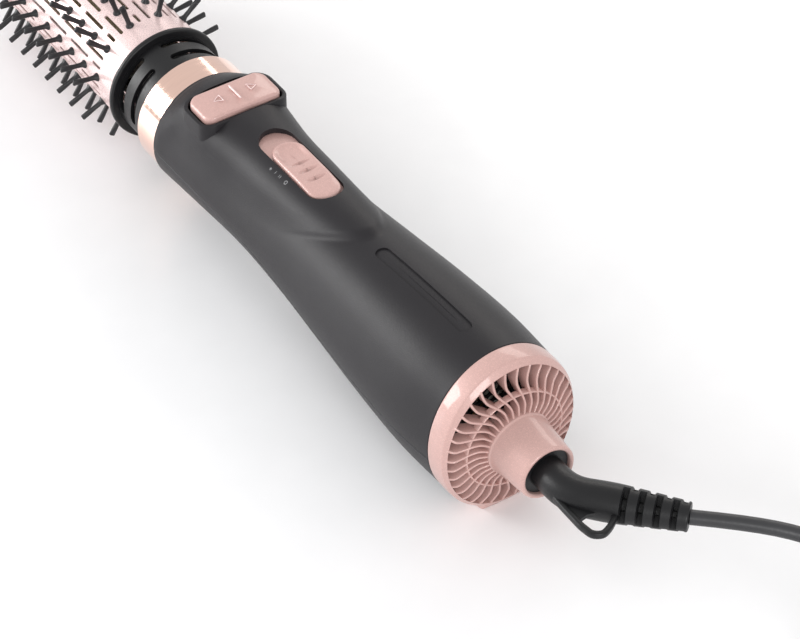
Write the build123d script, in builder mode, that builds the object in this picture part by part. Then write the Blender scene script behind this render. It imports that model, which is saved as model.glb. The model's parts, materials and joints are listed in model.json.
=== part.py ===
from build123d import *
import os
from math import acos, cos, degrees, pi, radians, sin, sqrt, tan

# Rotating hot air brush. +X runs along the long axis from the brush tip to the cord,
# +Z is the side with the buttons, and the object lies on Z = 0. Sizes in millimetres.

# ---- driving dimensions: stations along the long axis ----
AXIS_Z = 33.3            # height of the long axis above the surface
TIP_X = -188.5           # end of the cool tip
BARREL_END_X = -180.0
BARREL_START_X = -72.5
FLANGE_X = -71.9         # rim of the vent neck against the barrel
NECK_REAR_X = -50.6
COLLAR_FRONT_X = -51.0
SHELL_FRONT_X = -38.0
SHELL_REAR_X = 156.0
GRILLE_X = 166.0         # plane of the grille opening
BOSS_BASE_X = 170.9
BOSS_TIP_X = 188.5

WALL = 2.2               # plastic wall of the casing
RUN = 0.06               # radial running clearance of a shaft in its hole

# handle sections: station, half width, half height
HANDLE_SECTIONS = [
    (SHELL_FRONT_X, 24.3, 24.32),
    (-14.0, 23.2, 23.22),
    (16.0, 22.15, 22.17),
    (46.0, 23.0, 24.5),
    (76.0, 25.2, 28.0),
    (106.0, 27.6, 31.2),
    (136.0, 29.0, 33.0),
    (SHELL_REAR_X, 28.2, 33.0),
]
# parting line between the two shells, measured from the axis
PARTING = [(-38.0, -1.0), (-8.0, -3.0), (21.0, -4.7), (66.0, -8.8), (121.0, -7.4), (156.0, -5.2)]

# switch fairing: station, half width, half height, centre above the axis
FAIRING_SECTIONS = [
    (-12.0, 12.0, 9.0, 14.0),
    (8.0, 16.0, 15.5, 13.0),
    (56.0, 16.0, 16.0, 13.0),
    (82.0, 11.0, 12.5, 13.0),
]

ROCKER_X = -16.0
ROCKER_LENGTH = 16.0
ROCKER_WIDTH = 33.0
ROCKER_TOP = 31.5
ROCKER_BASE = 26.3
ROCKER_PIVOT = 25.0
ROCKER_CORNER = 4.0
WELL_FLOOR = 23.0
BEZEL_WALL = 1.6
BEZEL_TOP = 29.4

SLOT_START_X = 7.4
SLOT_END_X = 53.4
SLOT_WIDTH = 14.5
KNOB_LENGTH = 35.6
KNOB_WIDTH = 13.0
KNOB_END_X = 52.1
KNOB_TOP = 29.0
SLIDE_TRAVEL = 8.8
CHANNEL_TOP = 26.5
CHANNEL_HALF = 8.8

BARREL_RADIUS = 22.5
BARREL_WALL = 0.8
BRISTLE_TIP_RADIUS = 33.3
BRISTLE_ROWS = 11
BRISTLES_PER_ROW = 10
BRISTLE_PITCH = 9.9
FIRST_BRISTLE_X = -84.6
NECK_RADIUS = 21.5
FLANGE_RADIUS = 24.6

GEAR_MODULE = 0.75
RING_TEETH = 46
PINION_TEETH = 12
PINION_OFFSET = GEAR_MODULE * (RING_TEETH - PINION_TEETH) / 2
GEAR_X = -36.0
GEAR_WIDTH = 5.0
HUB_RADIUS = 19.8

FIN_COUNT = 36
OPENING = (26.6, 30.5)   # half width and half height of the grille opening

CORD_RADIUS = 2.7
RELIEF_ARM_RADIUS = 6.4
ELBOW = (201.0, 0.0)
RELIEF_END = (231.9, 27.7)
COIL_CENTRE = (338.0, 59.3)
COIL_COLUMNS = 5         # turns side by side
COIL_LAYERS = 2          # turns on top of each other
COIL_MID_RADIUS = 29.7
TIE_THICKNESS = 0.6
PLUG_WIDTH = 35.0
PLUG_THICKNESS = 16.0
PLUG_TAIL_X = COIL_CENTRE[0] - 1.0
PLUG_NOSE_X = PLUG_TAIL_X + 20.0
PLUG_SHOULDER_X = PLUG_NOSE_X + 9.0
PLUG_FACE_X = PLUG_SHOULDER_X + 22.0
PIN_SPACING = 19.0
PIN_RADIUS = 2.4
PIN_LENGTH = 19.0
PLUG_CORNER = 7.9

os.makedirs("parts", exist_ok=True)

SPIN_AXIS = Axis((0, 0, AXIS_Z), (1, 0, 0))
LENGTHWISE = Plane(origin=(0, 0, AXIS_Z), x_dir=(1, 0, 0), z_dir=(0, -1, 0))


def station(x):
    """Plane across the long axis at x; local x is +Y and local y is +Z."""
    return Plane(origin=(x, 0, AXIS_Z), x_dir=(0, 1, 0), z_dir=(1, 0, 0))


def level(height):
    """Horizontal plane at a height above the long axis."""
    return Plane.XY.offset(AXIS_Z + height)


def save(builder, name):
    """Labels a finished piece and writes it."""
    builder.part.label = name
    export_step(builder.part, f"parts/{name}.step")


def handle_body(inset):
    """Solid of the handle, inset from its outer surface."""
    with BuildPart() as body:
        for x, half_width, half_height in HANDLE_SECTIONS:
            with BuildSketch(station(x)):
                Ellipse(half_width - inset, half_height - inset)
        loft()
    return body.part


def tube(start, end, outer, inner):
    """Plain ring about the long axis."""
    with BuildPart() as ring:
        with BuildSketch(station(start)):
            Circle(outer)
            Circle(inner, mode=Mode.SUBTRACT)
        extrude(amount=end - start)
    return ring.part


def rod(start, end, radius, y=0.0, z=0.0):
    """Round rod parallel to the long axis."""
    with BuildPart() as bar:
        with BuildSketch(station(start)):
            with Locations((y, z)):
                Circle(radius)
        extrude(amount=end - start)
    return bar.part


def block(x, y, z):
    """Box given by its low and high limits; z is measured from the axis."""
    with BuildPart() as box:
        with BuildSketch(level(z[0])):
            with Locations(((x[0] + x[1]) / 2, (y[0] + y[1]) / 2)):
                Rectangle(x[1] - x[0], y[1] - y[0])
        extrude(amount=z[1] - z[0])
    return box.part


# ---- casing ----
SCREW_PLACES = [(-2.0, -13.0), (-2.0, 13.0), (64.0, -16.0), (64.0, 16.0)]
SCREW_BOSS_RADIUS = 3.4
SCREW_HEAD_RADIUS = 2.7
SCREW_SHANK_RADIUS = 1.45
SCREW_HEAD = 2.0         # height of the screw head
SCREW_SEAT = -9.0        # height of the screw head's seat
SCREW_TIP = 6.0
BOSS_TOP = 12.0
COLUMN_FOOT = -24.0
ROCKER_SWITCH_Y = 9.0
LEG_HOLE_RADIUS = 2.6
WELL_GAP = 0.5           # gap around the rocker, along the handle
WELL_SIDE_GAP = 0.9      # gap around the rocker, across the handle
FAIRING_ROOT = 16.0      # height inside the body where the bezel and the well walls start
PIN_END = 9.6            # half length of the rocker's pin
PIN_RADIUS_ROCKER = 1.0
CHANNEL_X = (-5.6, 68.0)
CHANNEL_BASE = 15.0
BELOW_HANDLE = -40.0
well_length = ROCKER_LENGTH + 2 * WELL_GAP
well_width = ROCKER_WIDTH + 2 * WELL_SIDE_GAP

with BuildPart() as casing:
    add(handle_body(0))
    for fairing_x, half_width, half_height, centre in FAIRING_SECTIONS:
        with BuildSketch(station(fairing_x)):
            with Locations((0, centre)):
                Ellipse(half_width, half_height)
    loft()
    with BuildSketch(level(FAIRING_ROOT)):
        with Locations((ROCKER_X, 0)):
            RectangleRounded(
                well_length + 2 * BEZEL_WALL,
                well_width + 2 * BEZEL_WALL,
                ROCKER_CORNER + 1.0,
            )
    extrude(amount=BEZEL_TOP - FAIRING_ROOT)
    add(handle_body(WALL), mode=Mode.SUBTRACT)
    # screw columns
    with BuildSketch(level(COLUMN_FOOT)):
        with Locations(*SCREW_PLACES):
            Circle(SCREW_BOSS_RADIUS)
    extrude(amount=BOSS_TOP - COLUMN_FOOT)
    with BuildSketch(level(BELOW_HANDLE)):
        with Locations(*SCREW_PLACES):
            Circle(SCREW_HEAD_RADIUS + 0.3)
    extrude(amount=SCREW_SEAT - BELOW_HANDLE, mode=Mode.SUBTRACT)
    with BuildSketch(level(SCREW_SEAT)):
        with Locations(*SCREW_PLACES):
            Circle(SCREW_SHANK_RADIUS + 0.1)
    extrude(amount=SCREW_TIP + 1.0 - SCREW_SEAT, mode=Mode.SUBTRACT)
    # rocker well with its pin seats and the holes for its legs
    with BuildSketch(level(WELL_FLOOR)):
        with Locations((ROCKER_X, 0)):
            RectangleRounded(well_length, well_width, ROCKER_CORNER)
    extrude(amount=20.0, mode=Mode.SUBTRACT)
    with BuildSketch(level(CHANNEL_BASE)):
        with Locations((ROCKER_X, -ROCKER_SWITCH_Y), (ROCKER_X, ROCKER_SWITCH_Y)):
            Circle(LEG_HOLE_RADIUS)
    extrude(amount=10.0, mode=Mode.SUBTRACT)
    add(
        rod(ROCKER_X - PIN_END, ROCKER_X + PIN_END, PIN_RADIUS_ROCKER, z=ROCKER_PIVOT),
        mode=Mode.SUBTRACT,
    )
    # opening of the slide switch and the channel of its shutter
    with BuildSketch(level(CHANNEL_BASE)):
        with Locations(((SLOT_START_X + SLOT_END_X) / 2, 0)):
            SlotOverall(SLOT_END_X - SLOT_START_X, SLOT_WIDTH)
    extrude(amount=20.0, mode=Mode.SUBTRACT)
    add(
        block(CHANNEL_X, (-CHANNEL_HALF, CHANNEL_HALF), (CHANNEL_BASE, CHANNEL_TOP)),
        mode=Mode.SUBTRACT,
    )

with BuildPart() as below_parting:
    with BuildSketch(LENGTHWISE):
        with BuildLine():
            Spline(*PARTING)
            Polyline(
                PARTING[-1],
                (SHELL_REAR_X, BELOW_HANDLE),
                (SHELL_FRONT_X, BELOW_HANDLE),
                PARTING[0],
            )
        make_face()
    extrude(amount=-BELOW_HANDLE, both=True)

with BuildPart() as upper_shell:
    add(casing.part)
    add(below_parting.part, mode=Mode.SUBTRACT)
save(upper_shell, "upper_shell")

with BuildPart() as lower_shell:
    add(casing.part)
    add(below_parting.part, mode=Mode.INTERSECT)
save(lower_shell, "lower_shell")

with BuildPart() as shell_screws:
    with BuildSketch(level(SCREW_SEAT - SCREW_HEAD)):
        with Locations(*SCREW_PLACES):
            Circle(SCREW_HEAD_RADIUS)
    extrude(amount=SCREW_HEAD)
    with BuildSketch(level(SCREW_SEAT)):
        with Locations(*SCREW_PLACES):
            Circle(SCREW_SHANK_RADIUS)
    extrude(amount=SCREW_TIP - SCREW_SEAT)
    with BuildSketch(level(SCREW_SEAT - SCREW_HEAD)):
        with Locations(*SCREW_PLACES):
            Rectangle(3.4, 0.8)
            Rectangle(0.8, 3.4)
    extrude(amount=1.2, mode=Mode.SUBTRACT)
save(shell_screws, "shell_screws")

# ---- front collar and the brush's bearing ----
COLLAR_RADIUS = 24.0
COLLAR_BORE = 21.9
SPIGOT_END_X = -30.0
BUSH_OUTER = 20.6

with BuildPart() as front_collar:
    add(tube(COLLAR_FRONT_X, SHELL_FRONT_X, COLLAR_RADIUS, COLLAR_BORE))
    fillet(front_collar.edges().group_by(Axis.X)[0].sort_by(SortBy.LENGTH)[-1], 0.8)
    add(tube(SHELL_FRONT_X, SPIGOT_END_X, BUSH_OUTER + 0.6, BUSH_OUTER))
    add(tube(SHELL_FRONT_X, SHELL_FRONT_X + 1.2, COLLAR_RADIUS - 2.0, BUSH_OUTER))
    add(tube(SHELL_FRONT_X - 1.2, SHELL_FRONT_X, COLLAR_RADIUS - 0.5, BUSH_OUTER))
save(front_collar, "front_collar")

with BuildPart() as hub_bush:
    add(tube(SHELL_FRONT_X, SPIGOT_END_X, BUSH_OUTER, HUB_RADIUS + RUN))
save(hub_bush, "hub_bush")


def involute_tooth(teeth, root, tip, half_angle_at_pitch):
    """Face of one gear tooth about local +X, with involute flanks."""
    pitch_radius = GEAR_MODULE * teeth / 2
    base_radius = pitch_radius * cos(radians(20))

    def spread(radius):
        """Angle that the involute has turned through at a radius."""
        ratio = max(radius / base_radius, 1.0)
        return sqrt(ratio**2 - 1) - acos(1 / ratio)

    flank = []
    for step in range(5):
        radius = root + (tip - root) * step / 4
        angle = half_angle_at_pitch + spread(pitch_radius) - spread(radius)
        flank.append((radius * cos(angle), radius * sin(angle)))
    other_flank = [(x, -y) for x, y in flank]
    with BuildSketch(mode=Mode.PRIVATE) as tooth:
        with BuildLine():
            Polyline(*other_flank, *reversed(flank), close=True)
        make_face()
    return tooth.sketch


BACKLASH = 0.16          # taken from each gear's tooth, along the pitch circle
TOOTH_DEPTH = 0.9        # depth of a tooth space below the pitch circle
PINION_ADDENDUM = 0.55
ring_pitch_radius = GEAR_MODULE * RING_TEETH / 2
pinion_pitch_radius = GEAR_MODULE * PINION_TEETH / 2
ring_space = involute_tooth(
    RING_TEETH,
    ring_pitch_radius - TOOTH_DEPTH,
    ring_pitch_radius + TOOTH_DEPTH,
    (pi / RING_TEETH + BACKLASH / ring_pitch_radius) / 2,
)
pinion_tooth = involute_tooth(
    PINION_TEETH,
    pinion_pitch_radius - TOOTH_DEPTH,
    pinion_pitch_radius + PINION_ADDENDUM,
    (pi / PINION_TEETH - BACKLASH / pinion_pitch_radius) / 2,
)
HUB_FRONT_X = -60.0
HUB_BORE = 18.6
PINION_SHAFT_RADIUS = 1.5
PINION_SHAFT_END_X = GEAR_X + 16.0

with BuildPart() as drive_hub:
    add(tube(HUB_FRONT_X, SPIGOT_END_X - 0.5, HUB_RADIUS, HUB_BORE))
    with BuildSketch(station(GEAR_X)):
        Circle(HUB_RADIUS - 0.2)
        Circle(ring_pitch_radius - 0.5, mode=Mode.SUBTRACT)
        with PolarLocations(0, RING_TEETH, start_angle=-90):
            add(ring_space, mode=Mode.SUBTRACT)
    extrude(amount=GEAR_WIDTH)
save(drive_hub, "drive_hub")

with BuildPart() as drive_pinion:
    with BuildSketch(station(GEAR_X + 0.3)):
        with Locations((0, -PINION_OFFSET)):
            Circle(pinion_pitch_radius - 0.8)
            with PolarLocations(0, PINION_TEETH, start_angle=-90):
                add(pinion_tooth)
    extrude(amount=GEAR_WIDTH - 0.3)
    add(rod(GEAR_X + 0.3, PINION_SHAFT_END_X, PINION_SHAFT_RADIUS, z=-PINION_OFFSET))
save(drive_pinion, "drive_pinion")

# ---- rotating brush ----
VENT_ROWS_X = [-67.0, -58.5]
VENT_WIDTH = 3.3
VENT_ANGLE = 69.0        # length of a vent around the neck, in degrees
VENT_GROUPS = 4
VENT_WEB_ANGLE = 19.0    # direction of the middle of the first web
vent_reach = VENT_ANGLE / 2 - degrees(VENT_WIDTH / 2 / NECK_RADIUS)


def radial_plane(angle, radius):
    """Plane that faces away from the long axis; local x runs towards the tip, local y around it."""
    outward = (0, cos(radians(angle)), sin(radians(angle)))
    centre = (0, radius * outward[1], AXIS_Z + radius * outward[2])
    return Plane(origin=centre, x_dir=(-1, 0, 0), z_dir=outward)


with BuildPart() as brush_neck:
    add(tube(FLANGE_X + 2.2, NECK_REAR_X, NECK_RADIUS, HUB_RADIUS))
    add(tube(FLANGE_X, FLANGE_X + 2.4, FLANGE_RADIUS, HUB_RADIUS))
    flange_rims = brush_neck.edges().filter_by(GeomType.CIRCLE)
    fillet(flange_rims.filter_by(lambda rim: abs(rim.radius - FLANGE_RADIUS) < 0.1), 0.9)
    add(tube(FLANGE_X - 4.0, FLANGE_X, BARREL_RADIUS - BARREL_WALL, HUB_RADIUS))
    for vent_x in VENT_ROWS_X:
        for group in range(VENT_GROUPS):
            vent_angle = VENT_WEB_ANGLE + 45.0 + 360.0 * group / VENT_GROUPS
            with BuildSketch(station(vent_x - VENT_WIDTH / 2)):
                with BuildLine():
                    wedge_start = PolarLine((0, 0), 30.0, vent_angle - vent_reach)
                    wedge_end = PolarLine((0, 0), 30.0, vent_angle + vent_reach)
                    Line(wedge_start @ 1, wedge_end @ 1)
                make_face()
            extrude(amount=VENT_WIDTH, mode=Mode.SUBTRACT)
            for end_angle in (vent_angle - vent_reach, vent_angle + vent_reach):
                with BuildSketch(radial_plane(end_angle, NECK_RADIUS - 4.0)):
                    with Locations((-vent_x, 0)):
                        Circle(VENT_WIDTH / 2)
                extrude(amount=6.0, mode=Mode.SUBTRACT)
save(brush_neck, "brush_neck")

SLOT_RADIUS_CUT = 4.0
LONG_SLOT = 13.6
SHORT_SLOT = 5.8
SLOT_GAP = 3.7
AIR_SLOT_WIDTH = 1.4
AIR_SLOT_START_X = -83.7
COLUMN_ANGLE = 5.4       # offset of a slot column from the middle between two rows
row_angle = 360.0 / BRISTLE_ROWS

with BuildPart() as barrel:
    add(tube(BARREL_END_X, BARREL_START_X, BARREL_RADIUS, BARREL_RADIUS - BARREL_WALL))
    for row in range(BRISTLE_ROWS):
        down = 270.0 + row * row_angle
        middle = down + row_angle / 2
        with BuildSketch(radial_plane(down, BARREL_RADIUS - 3.0)):
            for bristle in range(BRISTLES_PER_ROW):
                with Locations((-FIRST_BRISTLE_X + bristle * BRISTLE_PITCH, 0)):
                    Circle(1.7)
        extrude(amount=SLOT_RADIUS_CUT, mode=Mode.SUBTRACT)
        for side, first_slot in ((1, SHORT_SLOT), (-1, LONG_SLOT)):
            angle = middle + side * COLUMN_ANGLE
            with BuildSketch(radial_plane(angle, BARREL_RADIUS - 3.0)):
                start = -AIR_SLOT_START_X
                length = first_slot
                while start + length < -BARREL_END_X - 3.0:
                    with Locations((start + length / 2, 0)):
                        SlotOverall(length, AIR_SLOT_WIDTH)
                    start += length + SLOT_GAP
                    length = LONG_SLOT
            extrude(amount=SLOT_RADIUS_CUT, mode=Mode.SUBTRACT)
save(barrel, "barrel")

STRIP_WIDTH = 5.0
STRIP_THICKNESS = 1.0
STRIP_TOP = 21.45
PADDLE_LENGTH = 7.0      # flattened outer part of each bristle
BRISTLE_RADIUS = 1.0
BRISTLE_FLARE = 1.6
PADDLE_WIDTH = 2.4
PADDLE_THICKNESS = 1.2
STRIP_ENDS_X = (-175.4, -80.0)
middle_x = -FIRST_BRISTLE_X + (BRISTLES_PER_ROW - 1) * BRISTLE_PITCH / 2

for row in range(BRISTLE_ROWS):
    down = 270.0 + row * row_angle
    with BuildPart() as bristle_strip:
        with BuildSketch(radial_plane(down, STRIP_TOP - STRIP_THICKNESS)):
            with Locations((-(STRIP_ENDS_X[0] + STRIP_ENDS_X[1]) / 2, 0)):
                Rectangle(STRIP_ENDS_X[1] - STRIP_ENDS_X[0], STRIP_WIDTH)
        extrude(amount=STRIP_THICKNESS)
        with BuildSketch(radial_plane(down, STRIP_TOP - 0.2)):
            with Locations((middle_x, 0)):
                with GridLocations(BRISTLE_PITCH, 1.0, BRISTLES_PER_ROW, 1):
                    Circle(BRISTLE_FLARE)
        extrude(amount=BARREL_RADIUS + 0.5 - STRIP_TOP)
        with BuildSketch(radial_plane(down, BARREL_RADIUS)):
            with Locations((middle_x, 0)):
                with GridLocations(BRISTLE_PITCH, 1.0, BRISTLES_PER_ROW, 1):
                    Circle(BRISTLE_RADIUS)
        extrude(amount=BRISTLE_TIP_RADIUS - BARREL_RADIUS - 3.0)
        with BuildSketch(radial_plane(down, BRISTLE_TIP_RADIUS - PADDLE_LENGTH)):
            with Locations((middle_x, 0)):
                with GridLocations(BRISTLE_PITCH, 1.0, BRISTLES_PER_ROW, 1):
                    RectangleRounded(PADDLE_THICKNESS, PADDLE_WIDTH, 0.5)
        extrude(amount=PADDLE_LENGTH)
    save(bristle_strip, f"bristle_strip_{row + 1}")

CORE_PIN_RADIUS = 2.0
BUSH_RADIUS = 3.6
BUSH_BOSS_RADIUS = 5.2
CAP_RADIUS = 23.2
CAP_SPIGOT_RADIUS = 21.6
CAP_BORE = 20.2

with BuildPart() as tip_cap:
    with BuildSketch(LENGTHWISE):
        with BuildLine():
            Polyline(
                (BARREL_END_X + 4.0, CAP_SPIGOT_RADIUS),
                (BARREL_END_X + 4.0, CAP_BORE),
                (BARREL_END_X - 1.0, CAP_BORE),
                (TIP_X + 2.2, 14.0),
                (TIP_X + 2.2, BUSH_BOSS_RADIUS),
                (BARREL_END_X, BUSH_BOSS_RADIUS),
                (BARREL_END_X, BUSH_RADIUS),
                (TIP_X, BUSH_RADIUS),
                (TIP_X, 13.0),
            )
            RadiusArc((TIP_X, 13.0), (BARREL_END_X - 1.4, CAP_RADIUS), 12.0)
            Polyline(
                (BARREL_END_X - 1.4, CAP_RADIUS),
                (BARREL_END_X, CAP_RADIUS),
                (BARREL_END_X, CAP_SPIGOT_RADIUS),
                (BARREL_END_X + 4.0, CAP_SPIGOT_RADIUS),
            )
        make_face()
    revolve(axis=SPIN_AXIS)
    add(rod(TIP_X, TIP_X + 1.2, BUSH_RADIUS))
save(tip_cap, "tip_cap")

with BuildPart() as tip_bush:
    add(tube(TIP_X + 1.2, BARREL_END_X, BUSH_RADIUS, CORE_PIN_RADIUS + RUN))
save(tip_bush, "tip_bush")

# ---- heater, fixed to the handle and reaching into the barrel ----
CARRIER_RADIUS = 7.0
CARRIER_BORE = 5.8
CARRIER_FLANGE_X = 2.0
HEATER_START_X = -84.0
HEATER_END_X = -166.0
SLEEVE_RADIUS = 13.6
COIL_WIRE_RADIUS = 0.45
COIL_RADIUS = 11.4
COIL_WINDINGS = 14
BULKHEAD_RADIUS = 19.6
BULKHEAD_HOLE_RADIUS = 3.2
BULKHEAD_HOLE_CIRCLE = 13.4
HEAD_HOLE_RADIUS = 2.0
HEAD_HOLE_CIRCLE = 9.6
PLATE_THICKNESS = 1.5

with BuildPart() as heater_carrier:
    add(tube(HEATER_START_X, CARRIER_FLANGE_X, CARRIER_RADIUS, CARRIER_BORE))
    with BuildSketch(station(CARRIER_FLANGE_X)):
        Circle(BULKHEAD_RADIUS)
        Circle(CARRIER_BORE, mode=Mode.SUBTRACT)
        with PolarLocations(BULKHEAD_HOLE_CIRCLE, 8):
            Circle(BULKHEAD_HOLE_RADIUS, mode=Mode.SUBTRACT)
    extrude(amount=2.0)
    with BuildSketch(station(HEATER_START_X)):
        Circle(SLEEVE_RADIUS)
        with PolarLocations(HEAD_HOLE_CIRCLE, 8, start_angle=22.5):
            Circle(HEAD_HOLE_RADIUS, mode=Mode.SUBTRACT)
    extrude(amount=PLATE_THICKNESS)
save(heater_carrier, "heater_carrier")

MICA_THICKNESS = 0.8
mica_width = 2 * COIL_RADIUS - 1.2

with BuildPart() as mica_cross:
    with BuildSketch(station(HEATER_END_X)):
        Rectangle(mica_width, MICA_THICKNESS)
        Rectangle(MICA_THICKNESS, mica_width)
    extrude(amount=HEATER_START_X - HEATER_END_X)
save(mica_cross, "mica_cross")

coil_pitch = (HEATER_START_X - HEATER_END_X - 12.0) / COIL_WINDINGS

with BuildPart() as heater_coil:
    with BuildLine() as windings:
        Helix(
            coil_pitch,
            coil_pitch * COIL_WINDINGS,
            COIL_RADIUS,
            center=(HEATER_END_X + 6.0, 0, AXIS_Z),
            direction=(1, 0, 0),
        )
    with BuildSketch(Plane(windings.line @ 0, z_dir=windings.line % 0)):
        Circle(COIL_WIRE_RADIUS)
    sweep(path=windings.line, is_frenet=True)
save(heater_coil, "heater_coil")

with BuildPart() as mica_sleeve:
    add(tube(HEATER_END_X, HEATER_START_X, SLEEVE_RADIUS, SLEEVE_RADIUS - 0.6))
save(mica_sleeve, "mica_sleeve")

with BuildPart() as core_end_plate:
    with BuildSketch(station(HEATER_END_X - PLATE_THICKNESS)):
        Circle(SLEEVE_RADIUS)
        with PolarLocations(9.0, 6):
            Circle(2.6, mode=Mode.SUBTRACT)
    extrude(amount=PLATE_THICKNESS)
    add(rod(TIP_X + 1.6, HEATER_END_X - PLATE_THICKNESS, CORE_PIN_RADIUS))
save(core_end_plate, "core_end_plate")

with BuildPart() as thermostat:
    add(block((-96.0, -86.0), (1.2, 7.6), (0.6, 3.6)))
    add(rod(-94.0, -88.0, 1.6, y=4.4, z=4.8))
save(thermostat, "thermostat")

with BuildPart() as thermal_fuse:
    add(rod(-99.0, -89.0, 1.5, y=-5.0, z=-2.2))
    add(rod(-103.0, -86.0, 0.4, y=-5.0, z=-2.2))
save(thermal_fuse, "thermal_fuse")

# ---- brush drive ----
MOTOR_HALF_WIDTH = 6.0
MOTOR_HALF_HEIGHT = 5.0
GEARBOX_X = (-30.2, -20.0)
MOTOR_X = (-20.0, -4.0)
motor_low = -PINION_OFFSET - MOTOR_HALF_HEIGHT
motor_high = -PINION_OFFSET + MOTOR_HALF_HEIGHT

with BuildPart() as gear_motor:
    add(block(GEARBOX_X, (-MOTOR_HALF_WIDTH, MOTOR_HALF_WIDTH), (motor_low, motor_high)))
    add(rod(GEARBOX_X[1], MOTOR_X[1], MOTOR_HALF_HEIGHT, z=-PINION_OFFSET))
    add(rod(MOTOR_X[1], MOTOR_X[1] + 1.2, 2.5, z=-PINION_OFFSET))
    add(
        rod(GEARBOX_X[0], PINION_SHAFT_END_X + 0.2, PINION_SHAFT_RADIUS + RUN, z=-PINION_OFFSET),
        mode=Mode.SUBTRACT,
    )
save(gear_motor, "gear_motor")

# ---- rotation rocker ----
ROCKER_LEG_RADIUS = 1.8
ROCKER_LEG_END = 20.9
ROCKER_CROWN = 1.3       # rise of the top from its ends to its middle
HUB_HALF_LENGTH = 7.6
rocker_half = ROCKER_LENGTH / 2
rocker_end = ROCKER_TOP - ROCKER_CROWN

with BuildPart() as rocker_button:
    with BuildSketch(station(ROCKER_X - rocker_half)):
        with BuildLine():
            ThreePointArc(
                (-ROCKER_WIDTH / 2, rocker_end),
                (0, ROCKER_TOP),
                (ROCKER_WIDTH / 2, rocker_end),
            )
            Polyline(
                (ROCKER_WIDTH / 2, rocker_end),
                (ROCKER_WIDTH / 2, ROCKER_BASE),
                (-ROCKER_WIDTH / 2, ROCKER_BASE),
                (-ROCKER_WIDTH / 2, rocker_end),
            )
        make_face()
    extrude(amount=ROCKER_LENGTH)
    upright = rocker_button.edges().filter_by(Axis.Z)
    fillet(upright, ROCKER_CORNER)
    fillet(rocker_button.faces().sort_by(Axis.Z)[-1].edges(), 0.9)
    add(
        block(
            (ROCKER_X - HUB_HALF_LENGTH, ROCKER_X + HUB_HALF_LENGTH),
            (-2.6, 2.6),
            (ROCKER_PIVOT - 1.6, ROCKER_BASE + 0.2),
        )
    )
    with BuildSketch(level(ROCKER_LEG_END)):
        with Locations((ROCKER_X, -ROCKER_SWITCH_Y), (ROCKER_X, ROCKER_SWITCH_Y)):
            Circle(ROCKER_LEG_RADIUS)
    extrude(amount=ROCKER_BASE + 0.2 - ROCKER_LEG_END)
    add(
        rod(ROCKER_X - 9.0, ROCKER_X + 9.0, PIN_RADIUS_ROCKER + RUN, z=ROCKER_PIVOT),
        mode=Mode.SUBTRACT,
    )
save(rocker_button, "rocker_button")

with BuildPart() as rocker_pin:
    add(rod(ROCKER_X - PIN_END, ROCKER_X + PIN_END, PIN_RADIUS_ROCKER, z=ROCKER_PIVOT))
save(rocker_pin, "rocker_pin")

ROCKER_BOARD_Z = 13.5
BOARD_THICKNESS = 1.6
TACT_BODY = 1.8          # height of a push switch's body
rocker_board_top = ROCKER_BOARD_Z + BOARD_THICKNESS

with BuildPart() as rocker_board:
    add(block((ROCKER_X - 6.0, ROCKER_X + 6.0), (-13.0, 13.0), (ROCKER_BOARD_Z, rocker_board_top)))
save(rocker_board, "rocker_board")

with BuildPart() as rocker_switches:
    with BuildSketch(level(rocker_board_top)):
        with Locations((ROCKER_X, -ROCKER_SWITCH_Y), (ROCKER_X, ROCKER_SWITCH_Y)):
            Rectangle(6.0, 6.0)
    extrude(amount=TACT_BODY)
    with BuildSketch(level(rocker_board_top + TACT_BODY)):
        with Locations((ROCKER_X, -ROCKER_SWITCH_Y), (ROCKER_X, ROCKER_SWITCH_Y)):
            Circle(1.7)
    extrude(amount=2.0)
save(rocker_switches, "rocker_switches")

# ---- heat slider ----
KNOB_BASE = 26.2
SHUTTER_BASE = 25.0
SHUTTER_OVERLAP = 12.0
knob_middle = KNOB_END_X - KNOB_LENGTH / 2
GRIP_MARKS_X = [30.0, 35.0, 40.9]

with BuildPart() as slide_knob:
    with BuildSketch(level(KNOB_BASE)):
        with Locations((knob_middle, 0)):
            SlotOverall(KNOB_LENGTH, KNOB_WIDTH)
    extrude(amount=KNOB_TOP - KNOB_BASE)
    fillet(slide_knob.faces().sort_by(Axis.Z)[-1].edges(), 0.6)
    for mark_x in GRIP_MARKS_X:
        with BuildSketch(level(KNOB_TOP - 0.5)):
            with Locations((mark_x, 0)):
                Ellipse(0.7, 4.4)
        extrude(amount=1.0, mode=Mode.SUBTRACT)
save(slide_knob, "slide_knob")

LEVER_HALF = 1.5
LEVER_END = 18.0

with BuildPart() as slide_shutter:
    with BuildSketch(level(SHUTTER_BASE)):
        with Locations((knob_middle, 0)):
            Rectangle(KNOB_LENGTH + 2 * SHUTTER_OVERLAP, 2 * CHANNEL_HALF - 0.8)
    extrude(amount=KNOB_BASE - SHUTTER_BASE)
    add(
        block(
            (knob_middle - LEVER_HALF, knob_middle + LEVER_HALF),
            (-LEVER_HALF, LEVER_HALF),
            (LEVER_END, SHUTTER_BASE),
        )
    )
save(slide_shutter, "slide_shutter")

SWITCH_TOP = 22.0
CONTROL_BOARD_Z = 10.0
SWITCH_LENGTH = 30.0
switch_middle = knob_middle - SLIDE_TRAVEL / 2
switch_x = (switch_middle - SWITCH_LENGTH / 2, switch_middle + SWITCH_LENGTH / 2)

with BuildPart() as slide_switch:
    add(block(switch_x, (-5.0, 5.0), (CONTROL_BOARD_Z + BOARD_THICKNESS, SWITCH_TOP)))
    add(
        block(
            (knob_middle - SLIDE_TRAVEL - LEVER_HALF - 0.4, knob_middle + LEVER_HALF + 0.4),
            (-LEVER_HALF - 0.3, LEVER_HALF + 0.3),
            (LEVER_END - 0.6, SWITCH_TOP),
        ),
        mode=Mode.SUBTRACT,
    )
save(slide_switch, "slide_switch")

BOARD_SCREW_X = [10.0, 60.0]

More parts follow.
